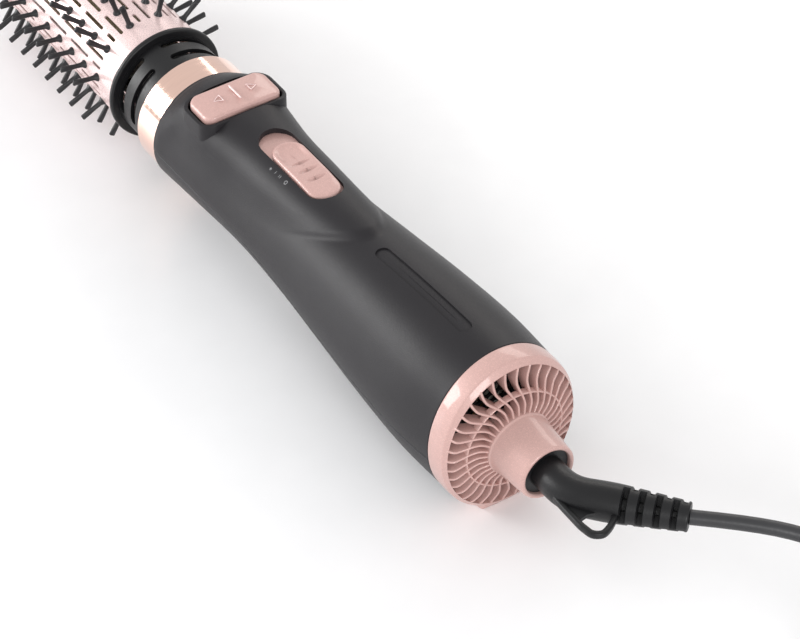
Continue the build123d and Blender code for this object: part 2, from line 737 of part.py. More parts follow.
with BuildPart() as control_board:
    add(block((6.0, 64.0), (-8.0, 8.0), (CONTROL_BOARD_Z, CONTROL_BOARD_Z + BOARD_THICKNESS)))
    with BuildSketch(level(CONTROL_BOARD_Z - 1.0)):
        with Locations((BOARD_SCREW_X[0], 0), (BOARD_SCREW_X[1], 0)):
            Circle(1.3)
    extrude(amount=5.0, mode=Mode.SUBTRACT)
save(control_board, "control_board")

# ---- blower ----
DUCT_RADIUS = 23.4
DUCT_BORE = 22.3
DUCT_X = (86.0, 146.0)
FAN_MOTOR_RADIUS = 14.0
FAN_MOTOR_X = (90.0, 124.0)
IMPELLER_X = (127.0, 139.0)
IMPELLER_RADIUS = 21.7
HUB_OF_IMPELLER = 8.0
FAN_SHAFT_RADIUS = 1.15
FAN_BLADES = 7
STATOR_VANES = 5

with BuildPart() as fan_duct:
    add(tube(DUCT_X[0], DUCT_X[1], DUCT_RADIUS, DUCT_BORE))
    add(tube(FAN_MOTOR_X[0] + 12.0, FAN_MOTOR_X[1], FAN_MOTOR_RADIUS + 1.2, FAN_MOTOR_RADIUS))
    with BuildSketch(station(FAN_MOTOR_X[0] + 14.0)):
        with PolarLocations(18.8, STATOR_VANES):
            Rectangle(8.0, 1.2)
    extrude(amount=16.0)
    with BuildSketch(station(DUCT_X[0])):
        Ellipse(23.5, 26.3)
        Circle(DUCT_BORE, mode=Mode.SUBTRACT)
    extrude(amount=1.5)
save(fan_duct, "fan_duct")

with BuildPart() as fan_motor:
    add(rod(FAN_MOTOR_X[0], FAN_MOTOR_X[1], FAN_MOTOR_RADIUS))
    fillet(fan_motor.edges().filter_by(GeomType.CIRCLE), 1.0)
    add(rod(FAN_MOTOR_X[0] - 2.0, FAN_MOTOR_X[0], 4.0))
    add(rod(FAN_MOTOR_X[1], FAN_MOTOR_X[1] + 1.5, 4.0))
    add(rod(FAN_MOTOR_X[0], FAN_MOTOR_X[1] + 1.6, FAN_SHAFT_RADIUS + RUN), mode=Mode.SUBTRACT)
save(fan_motor, "fan_motor")

with BuildPart() as impeller:
    add(rod(IMPELLER_X[0], IMPELLER_X[1], HUB_OF_IMPELLER))
    fillet(impeller.edges().filter_by(GeomType.CIRCLE).sort_by(Axis.X)[-1], 3.0)
    for blade in range(FAN_BLADES):
        blade_angle = radians(360.0 * blade / FAN_BLADES)
        outward = (0, cos(blade_angle), sin(blade_angle))
        root = (
            (IMPELLER_X[0] + IMPELLER_X[1]) / 2,
            7.0 * outward[1],
            AXIS_Z + 7.0 * outward[2],
        )
        with BuildSketch(Plane(origin=root, x_dir=(1, 0, 0), z_dir=outward)):
            Rectangle(12.0, 1.2, rotation=40)
        extrude(amount=IMPELLER_RADIUS - 7.3)
    add(rod(IMPELLER_X[0] - 1.0, IMPELLER_X[1] + 1.0, FAN_SHAFT_RADIUS), mode=Mode.SUBTRACT)
save(impeller, "impeller")

with BuildPart() as fan_shaft:
    add(rod(FAN_MOTOR_X[0] + 1.0, IMPELLER_X[1], FAN_SHAFT_RADIUS))
save(fan_shaft, "fan_shaft")

# ---- rear end: ring, grille with its boss, filter ----
FILTER_X = 158.2
FILTER_RINGS = [(11.0, 18), (14.6, 24), (18.2, 30), (21.8, 36)]
REST_HALF_WIDTH = 9.0
REST_X = (157.5, 164.0)
RING_SECTIONS = [(SHELL_REAR_X, 28.2, 33.0), (161.0, 28.1, 33.3), (GRILLE_X, 27.6, 32.9)]
STEM_RADIUS = 5.9
BOSS_BASE_RADIUS = 12.6
BOSS_TIP_RADIUS = 11.0
BOSS_BORE = 9.3
RIM = 1.2
FIN_THICKNESS = 1.1
MID_RING_RADIUS = 20.0
GRILLE_DEPTH = 3.6

with BuildPart() as rear_ring:
    for ring_x, half_width, half_height in RING_SECTIONS:
        with BuildSketch(station(ring_x)):
            Ellipse(half_width, half_height)
    loft()
    rear_rim = rear_ring.faces().sort_by(Axis.X)[-1].edges()
    fillet(rear_rim, 1.4)
    add(block(REST_X, (-REST_HALF_WIDTH, REST_HALF_WIDTH), (-AXIS_Z, -28.0)))
    with BuildSketch(station(SHELL_REAR_X - 1.0)):
        Ellipse(*OPENING)
    extrude(amount=12.0, mode=Mode.SUBTRACT)
save(rear_ring, "rear_ring")

with BuildPart() as inlet_filter:
    with BuildSketch(station(FILTER_X)):
        Ellipse(OPENING[0] - 0.2, OPENING[1] - 0.2)
        Circle(STEM_RADIUS + 2.4, mode=Mode.SUBTRACT)
        for filter_radius, filter_holes in FILTER_RINGS:
            with PolarLocations(filter_radius, filter_holes):
                Circle(1.4, mode=Mode.SUBTRACT)
    extrude(amount=0.8)
save(inlet_filter, "inlet_filter")


def fin_outline(turn):
    """Closed outline of one S-shaped fin, turned about the axis."""
    half = FIN_THICKNESS / 2
    centre_line = [(11.5, 0.8), (15.5, -1.2), (20.0, 3.0), (24.5, 7.6), (31.0, 5.2)]
    left = []
    right = []
    for radius, angle in centre_line:
        direction = radians(turn + angle)
        across = half / radius
        left.append((radius * cos(direction + across), radius * sin(direction + across)))
        right.append((radius * cos(direction - across), radius * sin(direction - across)))
    return left, right


with BuildPart() as grille_cone:
    with BuildSketch(LENGTHWISE):
        with BuildLine():
            Polyline(
                (GRILLE_X - GRILLE_DEPTH, BOSS_BORE),
                (BOSS_BASE_X - 0.6, BOSS_BASE_RADIUS - 1.0),
                (BOSS_BASE_X - 0.6, BOSS_BASE_RADIUS),
                (GRILLE_X, OPENING[1]),
                (GRILLE_X - GRILLE_DEPTH, OPENING[1]),
                close=True,
            )
        make_face()
    revolve(axis=SPIN_AXIS)

with BuildPart() as rear_grille:
    with BuildSketch(station(GRILLE_X - GRILLE_DEPTH)):
        for fin in range(FIN_COUNT):
            left, right = fin_outline(360.0 * fin / FIN_COUNT)
            with BuildLine():
                Spline(*left)
                Spline(*right)
                Line(left[0], right[0])
                Line(left[-1], right[-1])
            make_face()
    extrude(amount=BOSS_BASE_X - GRILLE_X + GRILLE_DEPTH)
    with BuildSketch(station(GRILLE_X - GRILLE_DEPTH)):
        Ellipse(OPENING[0], OPENING[1])
    extrude(amount=BOSS_BASE_X - GRILLE_X + GRILLE_DEPTH, mode=Mode.INTERSECT)
    add(grille_cone.part, mode=Mode.INTERSECT)
    add(tube(GRILLE_X, GRILLE_X + 2.6, MID_RING_RADIUS + 0.4, MID_RING_RADIUS - 0.4))
    with BuildSketch(station(GRILLE_X - GRILLE_DEPTH - 1.0)):
        Ellipse(OPENING[0] - 0.05, OPENING[1] - 0.05)
        Ellipse(OPENING[0] - RIM, OPENING[1] - RIM, mode=Mode.SUBTRACT)
    extrude(amount=GRILLE_DEPTH + 1.0)
    with BuildSketch(LENGTHWISE):
        with BuildLine():
            Polyline(
                (GRILLE_X - GRILLE_DEPTH, STEM_RADIUS + 0.1),
                (GRILLE_X - GRILLE_DEPTH, BOSS_BASE_RADIUS),
                (GRILLE_X, BOSS_BASE_RADIUS + 1.5),
                (BOSS_BASE_X, BOSS_BASE_RADIUS),
                (BOSS_TIP_X - 0.8, BOSS_TIP_RADIUS + 0.1),
                (BOSS_TIP_X, BOSS_TIP_RADIUS - 0.7),
                (BOSS_TIP_X, BOSS_BORE),
                (BOSS_BASE_X - 1.5, BOSS_BORE),
                (BOSS_BASE_X - 1.5, STEM_RADIUS + 0.1),
                close=True,
            )
        make_face()
    revolve(axis=SPIN_AXIS)
save(rear_grille, "rear_grille")

# ---- cord swivel: turns about the long axis in the boss ----
STEM_END_X = 150.0
COLLAR_END_X = 186.8
COLLAR_STEP_X = BOSS_BASE_X - 1.2
WIRE_HOLE = 2.8
SLIP_RINGS_X = [151.5, 154.5]
SPRING_GAP = 1.1         # from the stem to the underside of a contact spring
SPRING_THICKNESS = 0.5
spring_low = STEM_RADIUS + SPRING_GAP

with BuildPart() as swivel_collar:
    add(tube(COLLAR_STEP_X, COLLAR_END_X, BOSS_BORE - 0.08, WIRE_HOLE))
    add(tube(STEM_END_X, COLLAR_STEP_X, STEM_RADIUS, WIRE_HOLE))
save(swivel_collar, "swivel_collar")

with BuildPart() as retaining_clip:
    add(tube(160.2, 161.8, 8.0, STEM_RADIUS))
save(retaining_clip, "retaining_clip")

with BuildPart() as slip_rings:
    for slip_x in SLIP_RINGS_X:
        add(tube(slip_x, slip_x + 1.6, STEM_RADIUS + 0.8, STEM_RADIUS))
save(slip_rings, "slip_rings")

with BuildPart() as contact_holder:
    add(block((147.2, 157.4), (-4.0, 4.0), (9.5, 13.0)))
    add(block((147.2, 150.0), (-1.5, 1.5), (13.0, 29.5)))
save(contact_holder, "contact_holder")

with BuildPart() as contact_springs:
    for slip_x in SLIP_RINGS_X:
        spring_x = (slip_x + 0.2, slip_x + 1.4)
        add(block(spring_x, (-2.5, 2.5), (spring_low, spring_low + SPRING_THICKNESS)))
        add(block(spring_x, (1.8, 2.5), (spring_low, 9.5)))
save(contact_springs, "contact_springs")

# ---- strain relief and its hanging loop ----
RELIEF_BASE_RADIUS = 6.8
RELIEF_TIP_RADIUS = 4.9
RELIEF_SLOTS = 4
SWELL_DISTANCE = 14.0    # from the elbow to the thickest place of the ribbed arm
FIRST_GROOVE = 18.5
GROOVE_PITCH = 5.8
LOOP_HEIGHT = 3.0
relief_run = (RELIEF_END[0] - ELBOW[0], RELIEF_END[1] - ELBOW[1])
relief_length = sqrt(relief_run[0] ** 2 + relief_run[1] ** 2)
relief_heading = (relief_run[0] / relief_length, relief_run[1] / relief_length, 0)


def relief_plane(distance):
    """Plane across the ribbed arm, at a distance from the elbow."""
    centre = (
        ELBOW[0] + relief_heading[0] * distance,
        ELBOW[1] + relief_heading[1] * distance,
        AXIS_Z,
    )
    return Plane(origin=centre, x_dir=(-relief_heading[1], relief_heading[0], 0), z_dir=relief_heading)


with BuildPart() as strain_relief:
    add(rod(COLLAR_END_X, ELBOW[0], RELIEF_ARM_RADIUS))
    with Locations((ELBOW[0], ELBOW[1], AXIS_Z)):
        Sphere(RELIEF_ARM_RADIUS)
    with BuildSketch(relief_plane(0.0)):
        Circle(RELIEF_ARM_RADIUS)
    with BuildSketch(relief_plane(SWELL_DISTANCE)):
        Circle(RELIEF_BASE_RADIUS)
    with BuildSketch(relief_plane(relief_length)):
        Circle(RELIEF_TIP_RADIUS)
    loft(ruled=True)
    for groove in range(RELIEF_SLOTS):
        distance = FIRST_GROOVE + groove * GROOVE_PITCH
        with BuildSketch(relief_plane(distance)):
            with Locations((0, 5.6), (0, -5.6)):
                Rectangle(9.0, 4.4)
        extrude(amount=1.5, mode=Mode.SUBTRACT)
        with BuildSketch(relief_plane(distance + GROOVE_PITCH / 2)):
            with Locations((5.6, 0), (-5.6, 0)):
                Rectangle(3.6, 6.0)
        extrude(amount=1.3, mode=Mode.SUBTRACT)
save(strain_relief, "strain_relief")

LOOP_OUTLINE = [(201.0, -6.3), (219.5, -6.0), (223.6, -2.5), (217.5, 8.5), (204.0, 0.0)]
EYE_OUTLINE = [(206.5, -4.2), (218.8, -4.0), (221.2, -2.0), (215.8, 6.0), (206.0, -1.0)]

with BuildPart() as hang_loop:
    with BuildSketch(level(-LOOP_HEIGHT / 2)):
        with BuildLine():
            FilletPolyline(*LOOP_OUTLINE, radius=1.8, close=True)
        make_face()
        with BuildLine():
            FilletPolyline(*EYE_OUTLINE, radius=0.6, close=True)
        make_face(mode=Mode.SUBTRACT)
    extrude(amount=LOOP_HEIGHT)
    add(strain_relief.part, mode=Mode.SUBTRACT)
save(hang_loop, "hang_loop")

# ---- mains cord, its put-away coil and the plug ----
coil_base = TIE_THICKNESS
cord_pitch = 2 * CORD_RADIUS
coil_outer = COIL_MID_RADIUS + COIL_COLUMNS * CORD_RADIUS
coil_inner = COIL_MID_RADIUS - COIL_COLUMNS * CORD_RADIUS
coil_height = COIL_LAYERS * cord_pitch
PLUG_Y = COIL_CENTRE[1] + 24.7
plug_z = coil_base + coil_height + PLUG_THICKNESS / 2
CORD_ROUTE = [
    (RELIEF_END[0], RELIEF_END[1], AXIS_Z),
    (244.6, 42.2, 33.3),
    (258.5, 57.0, 31.0),
    (273.5, 70.5, 24.8),
    (289.5, 82.0, 15.6),
    (306.0, 90.8, 7.4),
    (324.15, 97.36, coil_base + CORD_RADIUS),
]
PLUG_LEAD_ROUTE = [
    (306.95, 32.1, 10.0),
    (298.9, 46.0, 12.6),
    (298.9, 62.1, 15.2),
    (306.9, 76.0, 17.6),
    (320.9, PLUG_Y, 19.2),
    (PLUG_TAIL_X, PLUG_Y, plug_z),
]


def route_radii(route):
    """Arc radius at each inner point of a route: 0.45 of the shorter run over tan(half turn)."""
    points = [Vector(*point) for point in route]
    radii = []
    for before, here, after in zip(points, points[1:], points[2:]):
        turn = (here - before).get_angle(after - here)
        shorter = min((here - before).length, (after - here).length)
        radii.append(0.45 * shorter / tan(radians(turn) / 2))
    return radii


cord_radii = route_radii(CORD_ROUTE)
lead_radii = route_radii(PLUG_LEAD_ROUTE)
print("cord arc radii", [round(radius, 1) for radius in cord_radii])
print("plug lead arc radii", [round(radius, 1) for radius in lead_radii])

with BuildPart() as cord_tube:
    with BuildLine() as cord_line:
        FilletPolyline(*CORD_ROUTE, radius=cord_radii)
    with BuildSketch(Plane(cord_line.line @ 0, z_dir=cord_line.line % 0)):
        Circle(CORD_RADIUS)
    sweep(path=cord_line.line)
save(cord_tube, "cord_tube")

with BuildPart() as plug_lead:
    with BuildLine() as lead_line:
        FilletPolyline(*PLUG_LEAD_ROUTE, radius=lead_radii)
    with BuildSketch(Plane(lead_line.line @ 0, z_dir=lead_line.line % 0)):
        Circle(CORD_RADIUS)
    sweep(path=lead_line.line)
save(plug_lead, "plug_lead")

for stretch, swept in ((cord_line, cord_tube), (lead_line, plug_lead)):
    length = stretch.wires()[0].length
    volume_ratio = swept.part.volume / (pi * CORD_RADIUS**2 * length)
    print("length", round(length, 1), "volume over section times length", round(volume_ratio, 4))

with BuildPart() as cord_coil:
    with BuildSketch(Plane.XY.offset(coil_base)):
        with Locations(COIL_CENTRE):
            Circle(coil_outer)
            Circle(coil_inner, mode=Mode.SUBTRACT)
    extrude(amount=coil_height)
    fillet(cord_coil.edges(), 2.4)
save(cord_coil, "cord_coil")

TIE_WIDTH = 9.0

with BuildPart() as cord_tie:
    with BuildSketch(Plane.XZ.offset(-COIL_CENTRE[1] + TIE_WIDTH / 2)):
        with Locations((COIL_CENTRE[0] + COIL_MID_RADIUS, coil_base + coil_height / 2)):
            RectangleRounded(
                coil_outer - coil_inner + 2 * TIE_THICKNESS,
                coil_height + 2 * TIE_THICKNESS,
                2.8,
            )
    extrude(amount=-TIE_WIDTH)
    add(cord_coil.part, mode=Mode.SUBTRACT)
save(cord_tie, "cord_tie")


def plug_plane(x):
    """Plane across the plug at x; local x is +Y and local y is +Z."""
    return Plane(origin=(x, PLUG_Y, plug_z), x_dir=(0, 1, 0), z_dir=(1, 0, 0))


with BuildPart() as plug_body:
    with BuildSketch(plug_plane(PLUG_SHOULDER_X)):
        RectangleRounded(PLUG_WIDTH, PLUG_THICKNESS, PLUG_CORNER)
    extrude(amount=PLUG_FACE_X - PLUG_SHOULDER_X)
    with BuildSketch(plug_plane(PLUG_NOSE_X)):
        RectangleRounded(13.0, 12.0, 5.9)
    with BuildSketch(plug_plane(PLUG_SHOULDER_X)):
        RectangleRounded(PLUG_WIDTH, PLUG_THICKNESS, PLUG_CORNER)
    loft()
    with BuildSketch(plug_plane(PLUG_TAIL_X)):
        Circle(4.2)
    with BuildSketch(plug_plane(PLUG_NOSE_X)):
        Circle(5.6)
    loft()
save(plug_body, "plug_body")

with BuildPart() as plug_pins:
    with BuildSketch(plug_plane(PLUG_FACE_X)):
        with Locations((-PIN_SPACING / 2, 0), (PIN_SPACING / 2, 0)):
            Circle(PIN_RADIUS)
    extrude(amount=PIN_LENGTH)
    fillet(plug_pins.edges().group_by(Axis.X)[-1], 1.2)
save(plug_pins, "plug_pins")
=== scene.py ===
import json
from math import asin, atan2, cos, hypot, pi, radians, sin, sqrt

import bmesh
import bpy
import numpy as np
from mathutils import Matrix, Vector


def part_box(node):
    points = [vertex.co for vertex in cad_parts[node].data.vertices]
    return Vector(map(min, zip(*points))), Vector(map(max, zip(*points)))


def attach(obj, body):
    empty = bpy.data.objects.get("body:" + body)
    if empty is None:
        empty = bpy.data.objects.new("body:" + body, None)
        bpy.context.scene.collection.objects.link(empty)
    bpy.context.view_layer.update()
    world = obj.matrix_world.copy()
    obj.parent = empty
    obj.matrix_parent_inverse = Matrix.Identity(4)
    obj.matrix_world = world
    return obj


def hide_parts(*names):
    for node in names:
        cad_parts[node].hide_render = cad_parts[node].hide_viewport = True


# Rotating hot air brush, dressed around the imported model. Metres; +X runs to the cord end.
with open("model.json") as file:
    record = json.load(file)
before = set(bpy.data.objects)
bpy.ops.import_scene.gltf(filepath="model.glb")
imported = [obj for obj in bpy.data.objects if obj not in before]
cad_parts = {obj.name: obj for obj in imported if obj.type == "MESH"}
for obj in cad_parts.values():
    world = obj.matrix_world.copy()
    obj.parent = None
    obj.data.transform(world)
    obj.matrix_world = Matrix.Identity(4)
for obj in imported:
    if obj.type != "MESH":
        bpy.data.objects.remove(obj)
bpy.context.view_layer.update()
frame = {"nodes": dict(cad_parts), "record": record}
nodes = frame["nodes"]
MM = 0.001

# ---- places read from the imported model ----
ring_low, ring_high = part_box("rear_ring")
collar_low, collar_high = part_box("front_collar")
rocker_low, rocker_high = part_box("rocker_button")
knob_low, knob_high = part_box("slide_knob")
shell_low, shell_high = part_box("upper_shell")
grille_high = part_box("rear_grille")[1]
coil_low, coil_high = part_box("cord_coil")
AXIS_Z = (collar_low.z + collar_high.z) / 2


# ---- camera ----
def look(location, right, up, back, lens):
    """Camera placed by its own three directions."""
    data = bpy.data.cameras.new("camera")
    data.lens = lens
    data.clip_end = 20.0
    camera = bpy.data.objects.new("camera", data)
    bpy.context.scene.collection.objects.link(camera)
    columns = Matrix((right, up, back)).transposed().to_4x4()
    camera.matrix_world = Matrix.Translation(location) @ columns
    bpy.context.scene.camera = camera


CAMERA_PLACE = Vector((0.81832, -0.47793, 0.8238))
FOCAL_LENGTH = 146.5
AZIMUTH = radians(56.5)
ELEVATION = radians(42.35)
camera_back = Vector((
    sin(AZIMUTH) * cos(ELEVATION),
    -cos(AZIMUTH) * cos(ELEVATION),
    sin(ELEVATION),
))
camera_right = Vector((cos(AZIMUTH), sin(AZIMUTH), 0.0))
camera_up = camera_back.cross(camera_right)
look(CAMERA_PLACE, camera_right, camera_up, camera_back, FOCAL_LENGTH)


# ---- cord: the route out of the strain relief, the put-away coil, and the lead to the plug ----
CORD_RADIUS = 2.7 * MM
COIL_COLUMNS = 5
COIL_CENTRE = (coil_low + coil_high) / 2
coil_base = coil_low.z
inner_turn = (coil_high.x - coil_low.x) / 2 - (2 * COIL_COLUMNS - 1) * CORD_RADIUS
cord_route = [
    (231.9, 27.7, 33.3),
    (244.6, 42.2, 33.3),
    (258.5, 57.0, 31.0),
    (273.5, 70.5, 24.8),
    (289.5, 82.0, 15.6),
    (306.0, 90.8, 7.4),
]
plug_lead_route = [
    (306.95, 32.1, 10.0),
    (298.9, 46.0, 12.6),
    (298.9, 62.1, 15.2),
    (306.9, 76.0, 17.6),
    (320.9, 84.0, 19.2),
    (337.5, 84.0, 19.4),
]
START_ANGLE = 110.0      # direction at which the cord enters the coil, in degrees
TURNED = 9 * 360.0 + 236.0    # degrees that the cord goes round in the coil
LAYER_LIFT = 1.02        # height of the lowest turn, in cord radii
STEP_WINDOW = 60.0       # part of each turn over which the cord moves to the next place
POINTS_PER_TURN = 16


def coil_points():
    """Control points of the coil: the lower layer winds inward, the upper one outward."""
    places = [(COIL_COLUMNS - 1 - k, 0) for k in range(COIL_COLUMNS)]
    places += [(k, 1) for k in range(COIL_COLUMNS)]
    count = round(TURNED / 360.0 * POINTS_PER_TURN)
    points = []
    for i in range(count + 1):
        travelled = TURNED * i / count
        turn = min(int(travelled // 360), len(places) - 1)
        share = (travelled - 360 * turn - (360 - STEP_WINDOW)) / STEP_WINDOW
        share = min(max(share, 0.0), 1.0)
        share = share * share * (3 - 2 * share)
        here = places[turn]
        after = places[min(turn + 1, len(places) - 1)]
        column = here[0] + (after[0] - here[0]) * share
        layer = here[1] + (after[1] - here[1]) * share
        radius = inner_turn + 2 * CORD_RADIUS * column
        angle = radians(START_ANGLE - travelled)
        points.append((
            COIL_CENTRE.x + radius * cos(angle),
            COIL_CENTRE.y + radius * sin(angle),
            coil_base + CORD_RADIUS * (LAYER_LIFT + 2 * layer),
        ))
    return points


def in_metres(route):
    """The same points in metres."""
    return [tuple(value * MM for value in point) for point in route]


cord_points = in_metres(cord_route) + coil_points() + in_metres(plug_lead_route)

curve = bpy.data.curves.new("mains_cord", "CURVE")
curve.dimensions = "3D"
curve.bevel_depth = 1.0    # the thickness is each point's radius
curve.bevel_resolution = 6
curve.resolution_u = 4
spline = curve.splines.new("NURBS")
spline.points.add(len(cord_points) - 1)
for knot, point in zip(spline.points, cord_points):
    knot.co = (*point, 1.0)
    knot.radius = CORD_RADIUS
spline.order_u = 3
spline.use_endpoint_u = True
mains_cord = bpy.data.objects.new("mains_cord", curve)
bpy.context.scene.collection.objects.link(mains_cord)
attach(mains_cord, "cord_swivel")
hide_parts("cord_tube", "cord_coil", "plug_lead")


# ---- materials: each one is a small node tree with its own grain ----
def paint(name, color, roughness, metallic=0.0, coat=0.0, coat_roughness=0.1, specular=0.5):
    """New material with its shader's plain values; returns it, its node tree and its shader."""
    made = bpy.data.materials.new(name)
    made.use_nodes = True
    tree = made.node_tree
    shader = tree.nodes["Principled BSDF"]
    shader.inputs["Base Color"].default_value = (*color, 1.0)
    shader.inputs["Roughness"].default_value = roughness
    shader.inputs["Metallic"].default_value = metallic
    shader.inputs["Coat Weight"].default_value = coat
    shader.inputs["Coat Roughness"].default_value = coat_roughness
    shader.inputs["Specular IOR Level"].default_value = specular
    return made, tree, shader


def place(tree, stretch=(1.0, 1.0, 1.0)):
    """Object coordinates, stretched along the axes."""
    coordinates = tree.nodes.new("ShaderNodeTexCoord")
    mapping = tree.nodes.new("ShaderNodeMapping")
    mapping.inputs["Scale"].default_value = stretch
    tree.links.new(coordinates.outputs["Object"], mapping.inputs["Vector"])
    return mapping.outputs["Vector"]


def noise(tree, vector, scale, detail=3.0):
    """Value of a noise texture."""
    texture = tree.nodes.new("ShaderNodeTexNoise")
    texture.inputs["Scale"].default_value = scale
    texture.inputs["Detail"].default_value = detail
    tree.links.new(vector, texture.inputs["Vector"])
    return texture.outputs["Fac"]


def cells(tree, vector, scale):
    """Texture of irregular cells."""
    texture = tree.nodes.new("ShaderNodeTexVoronoi")
    texture.inputs["Scale"].default_value = scale
    tree.links.new(vector, texture.inputs["Vector"])
    return texture


def waves(tree, vector, scale, direction, distortion=0.0):
    """Value of a band texture along one direction."""
    texture = tree.nodes.new("ShaderNodeTexWave")
    texture.bands_direction = direction
    texture.inputs["Scale"].default_value = scale
    texture.inputs["Distortion"].default_value = distortion
    tree.links.new(vector, texture.inputs["Vector"])
    return texture.outputs["Fac"]


def ramp(tree, factor, stops):
    """Colour ramp over a factor; stops are (position, colour)."""
    node = tree.nodes.new("ShaderNodeValToRGB")
    for element, (position, color) in zip(node.color_ramp.elements, (stops[0], stops[-1])):
        element.position = position
        element.color = (*color, 1.0)
    for position, color in stops[1:-1]:
        node.color_ramp.elements.new(position).color = (*color, 1.0)
    tree.links.new(factor, node.inputs["Fac"])
    return node.outputs["Color"]


def spread(tree, factor, low, high):
    """Maps a factor's middle range onto low to high."""
    node = tree.nodes.new("ShaderNodeMapRange")
    node.inputs["From Min"].default_value = 0.3
    node.inputs["From Max"].default_value = 0.7
    node.inputs["To Min"].default_value = low
    node.inputs["To Max"].default_value = high
    tree.links.new(factor, node.inputs["Value"])
    return node.outputs["Result"]


def bump(tree, shader, height, distance, strength=1.0):
    """Fine relief in the shader's normal."""
    node = tree.nodes.new("ShaderNodeBump")
    node.inputs["Strength"].default_value = strength
    node.inputs["Distance"].default_value = distance
    tree.links.new(height, node.inputs["Height"])
    tree.links.new(node.outputs["Normal"], shader.inputs["Normal"])


def shade(color, amount):
    """A colour made lighter or darker."""
    return tuple(min(channel * amount, 1.0) for channel in color)


def moulded(name, color, roughness, grain, depth, variation=0.12, **finish):
    """Moulded plastic or rubber: fine texture, faint cloudiness and uneven gloss."""
    made, tree, shader = paint(name, color, roughness, **finish)
    vector = place(tree)
    cloud = noise(tree, vector, 45.0, 4.0)
    fine = noise(tree, vector, grain, 2.0)
    stops = [(0.3, shade(color, 1 - variation)), (0.7, shade(color, 1 + variation))]
    tree.links.new(ramp(tree, cloud, stops), shader.inputs["Base Color"])
    gloss = spread(tree, fine, roughness - 0.05, roughness + 0.06)
    tree.links.new(gloss, shader.inputs["Roughness"])
    bump(tree, shader, fine, depth)
    return made


def flaked(name, color, roughness, flake, contrast, **finish):
    """Metallic paint: small flakes of lighter and darker tone under the surface."""
    made, tree, shader = paint(name, color, roughness, **finish)
    vector = place(tree)
    grains = cells(tree, vector, flake)
    tone = tree.nodes.new("ShaderNodeSeparateColor")
    tree.links.new(grains.outputs["Color"], tone.inputs["Color"])
    stops = [
        (0.0, shade(color, 1 - contrast)),
        (0.8, color),
        (1.0, shade(color, 1 + 1.6 * contrast)),
    ]
    tree.links.new(ramp(tree, tone.outputs["Red"], stops), shader.inputs["Base Color"])
    gloss = spread(tree, tone.outputs["Green"], roughness - 0.05, roughness + 0.07)
    tree.links.new(gloss, shader.inputs["Roughness"])
    bump(tree, shader, noise(tree, vector, 700.0), 0.00003)
    return made


def brushed(
    name, color, roughness, stretch, metallic=1.0, depth=0.00002, contrast=0.12, **finish
):
    """Drawn or turned metal: fine streaks."""
    made, tree, shader = paint(name, color, roughness, metallic=metallic, **finish)
    streaks = noise(tree, place(tree, stretch), 900.0, 3.0)
    stops = [(0.3, shade(color, 1 - contrast)), (0.7, shade(color, 1 + 0.7 * contrast))]
    tree.links.new(ramp(tree, streaks, stops), shader.inputs["Base Color"])
    gloss = spread(tree, streaks, max(roughness - 0.05, 0.03), roughness + 0.07)
    tree.links.new(gloss, shader.inputs["Roughness"])
    bump(tree, shader, streaks, depth)
    return made


def layered_mica():
    """Insulating sheet with thin pale flakes."""
    made, tree, shader = paint("mica_sheet", (0.5, 0.4, 0.26), 0.38)
    vector = place(tree)
    flakes = cells(tree, vector, 520.0)
    stops = [(0.0, (0.62, 0.52, 0.36)), (0.5, (0.45, 0.36, 0.22)), (1.0, (0.3, 0.23, 0.13))]
    tree.links.new(ramp(tree, flakes.outputs["Distance"], stops), shader.inputs["Base Color"])
    gloss = spread(tree, noise(tree, vector, 160.0), 0.3, 0.5)
    tree.links.new(gloss, shader.inputs["Roughness"])
    bump(tree, shader, flakes.outputs["Distance"], 0.0001)
    return made


def green_board():
    """Circuit board with faint copper tracks under the green."""
    made, tree, shader = paint("solder_mask", (0.02, 0.16, 0.07), 0.28, coat=0.4)
    vector = place(tree)
    tracks = waves(tree, vector, 190.0, "Y", 3.0)
    stops = [(0.42, (0.012, 0.12, 0.05)), (0.5, (0.03, 0.24, 0.1)), (0.58, (0.012, 0.12, 0.05))]
    tree.links.new(ramp(tree, tracks, stops), shader.inputs["Base Color"])
    gloss = spread(tree, noise(tree, vector, 300.0), 0.22, 0.36)
    tree.links.new(gloss, shader.inputs["Roughness"])
    bump(tree, shader, tracks, 0.00005)
    return made


def woven_tape():
    """Dark tape with crossing threads."""
    made, tree, shader = paint("woven_tape", (0.03, 0.03, 0.034), 0.9)
    vector = place(tree)
    weft = waves(tree, vector, 420.0, "Y")
    warp = waves(tree, vector, 420.0, "X")
    crossing = tree.nodes.new("ShaderNodeMath")
    crossing.operation = "MULTIPLY"
    tree.links.new(weft, crossing.inputs[0])
    tree.links.new(warp, crossing.inputs[1])
    stops = [(0.0, (0.012, 0.012, 0.014)), (1.0, (0.075, 0.075, 0.082))]
    tree.links.new(ramp(tree, crossing.outputs["Value"], stops), shader.inputs["Base Color"])
    bump(tree, shader, crossing.outputs["Value"], 0.0003)
    return made


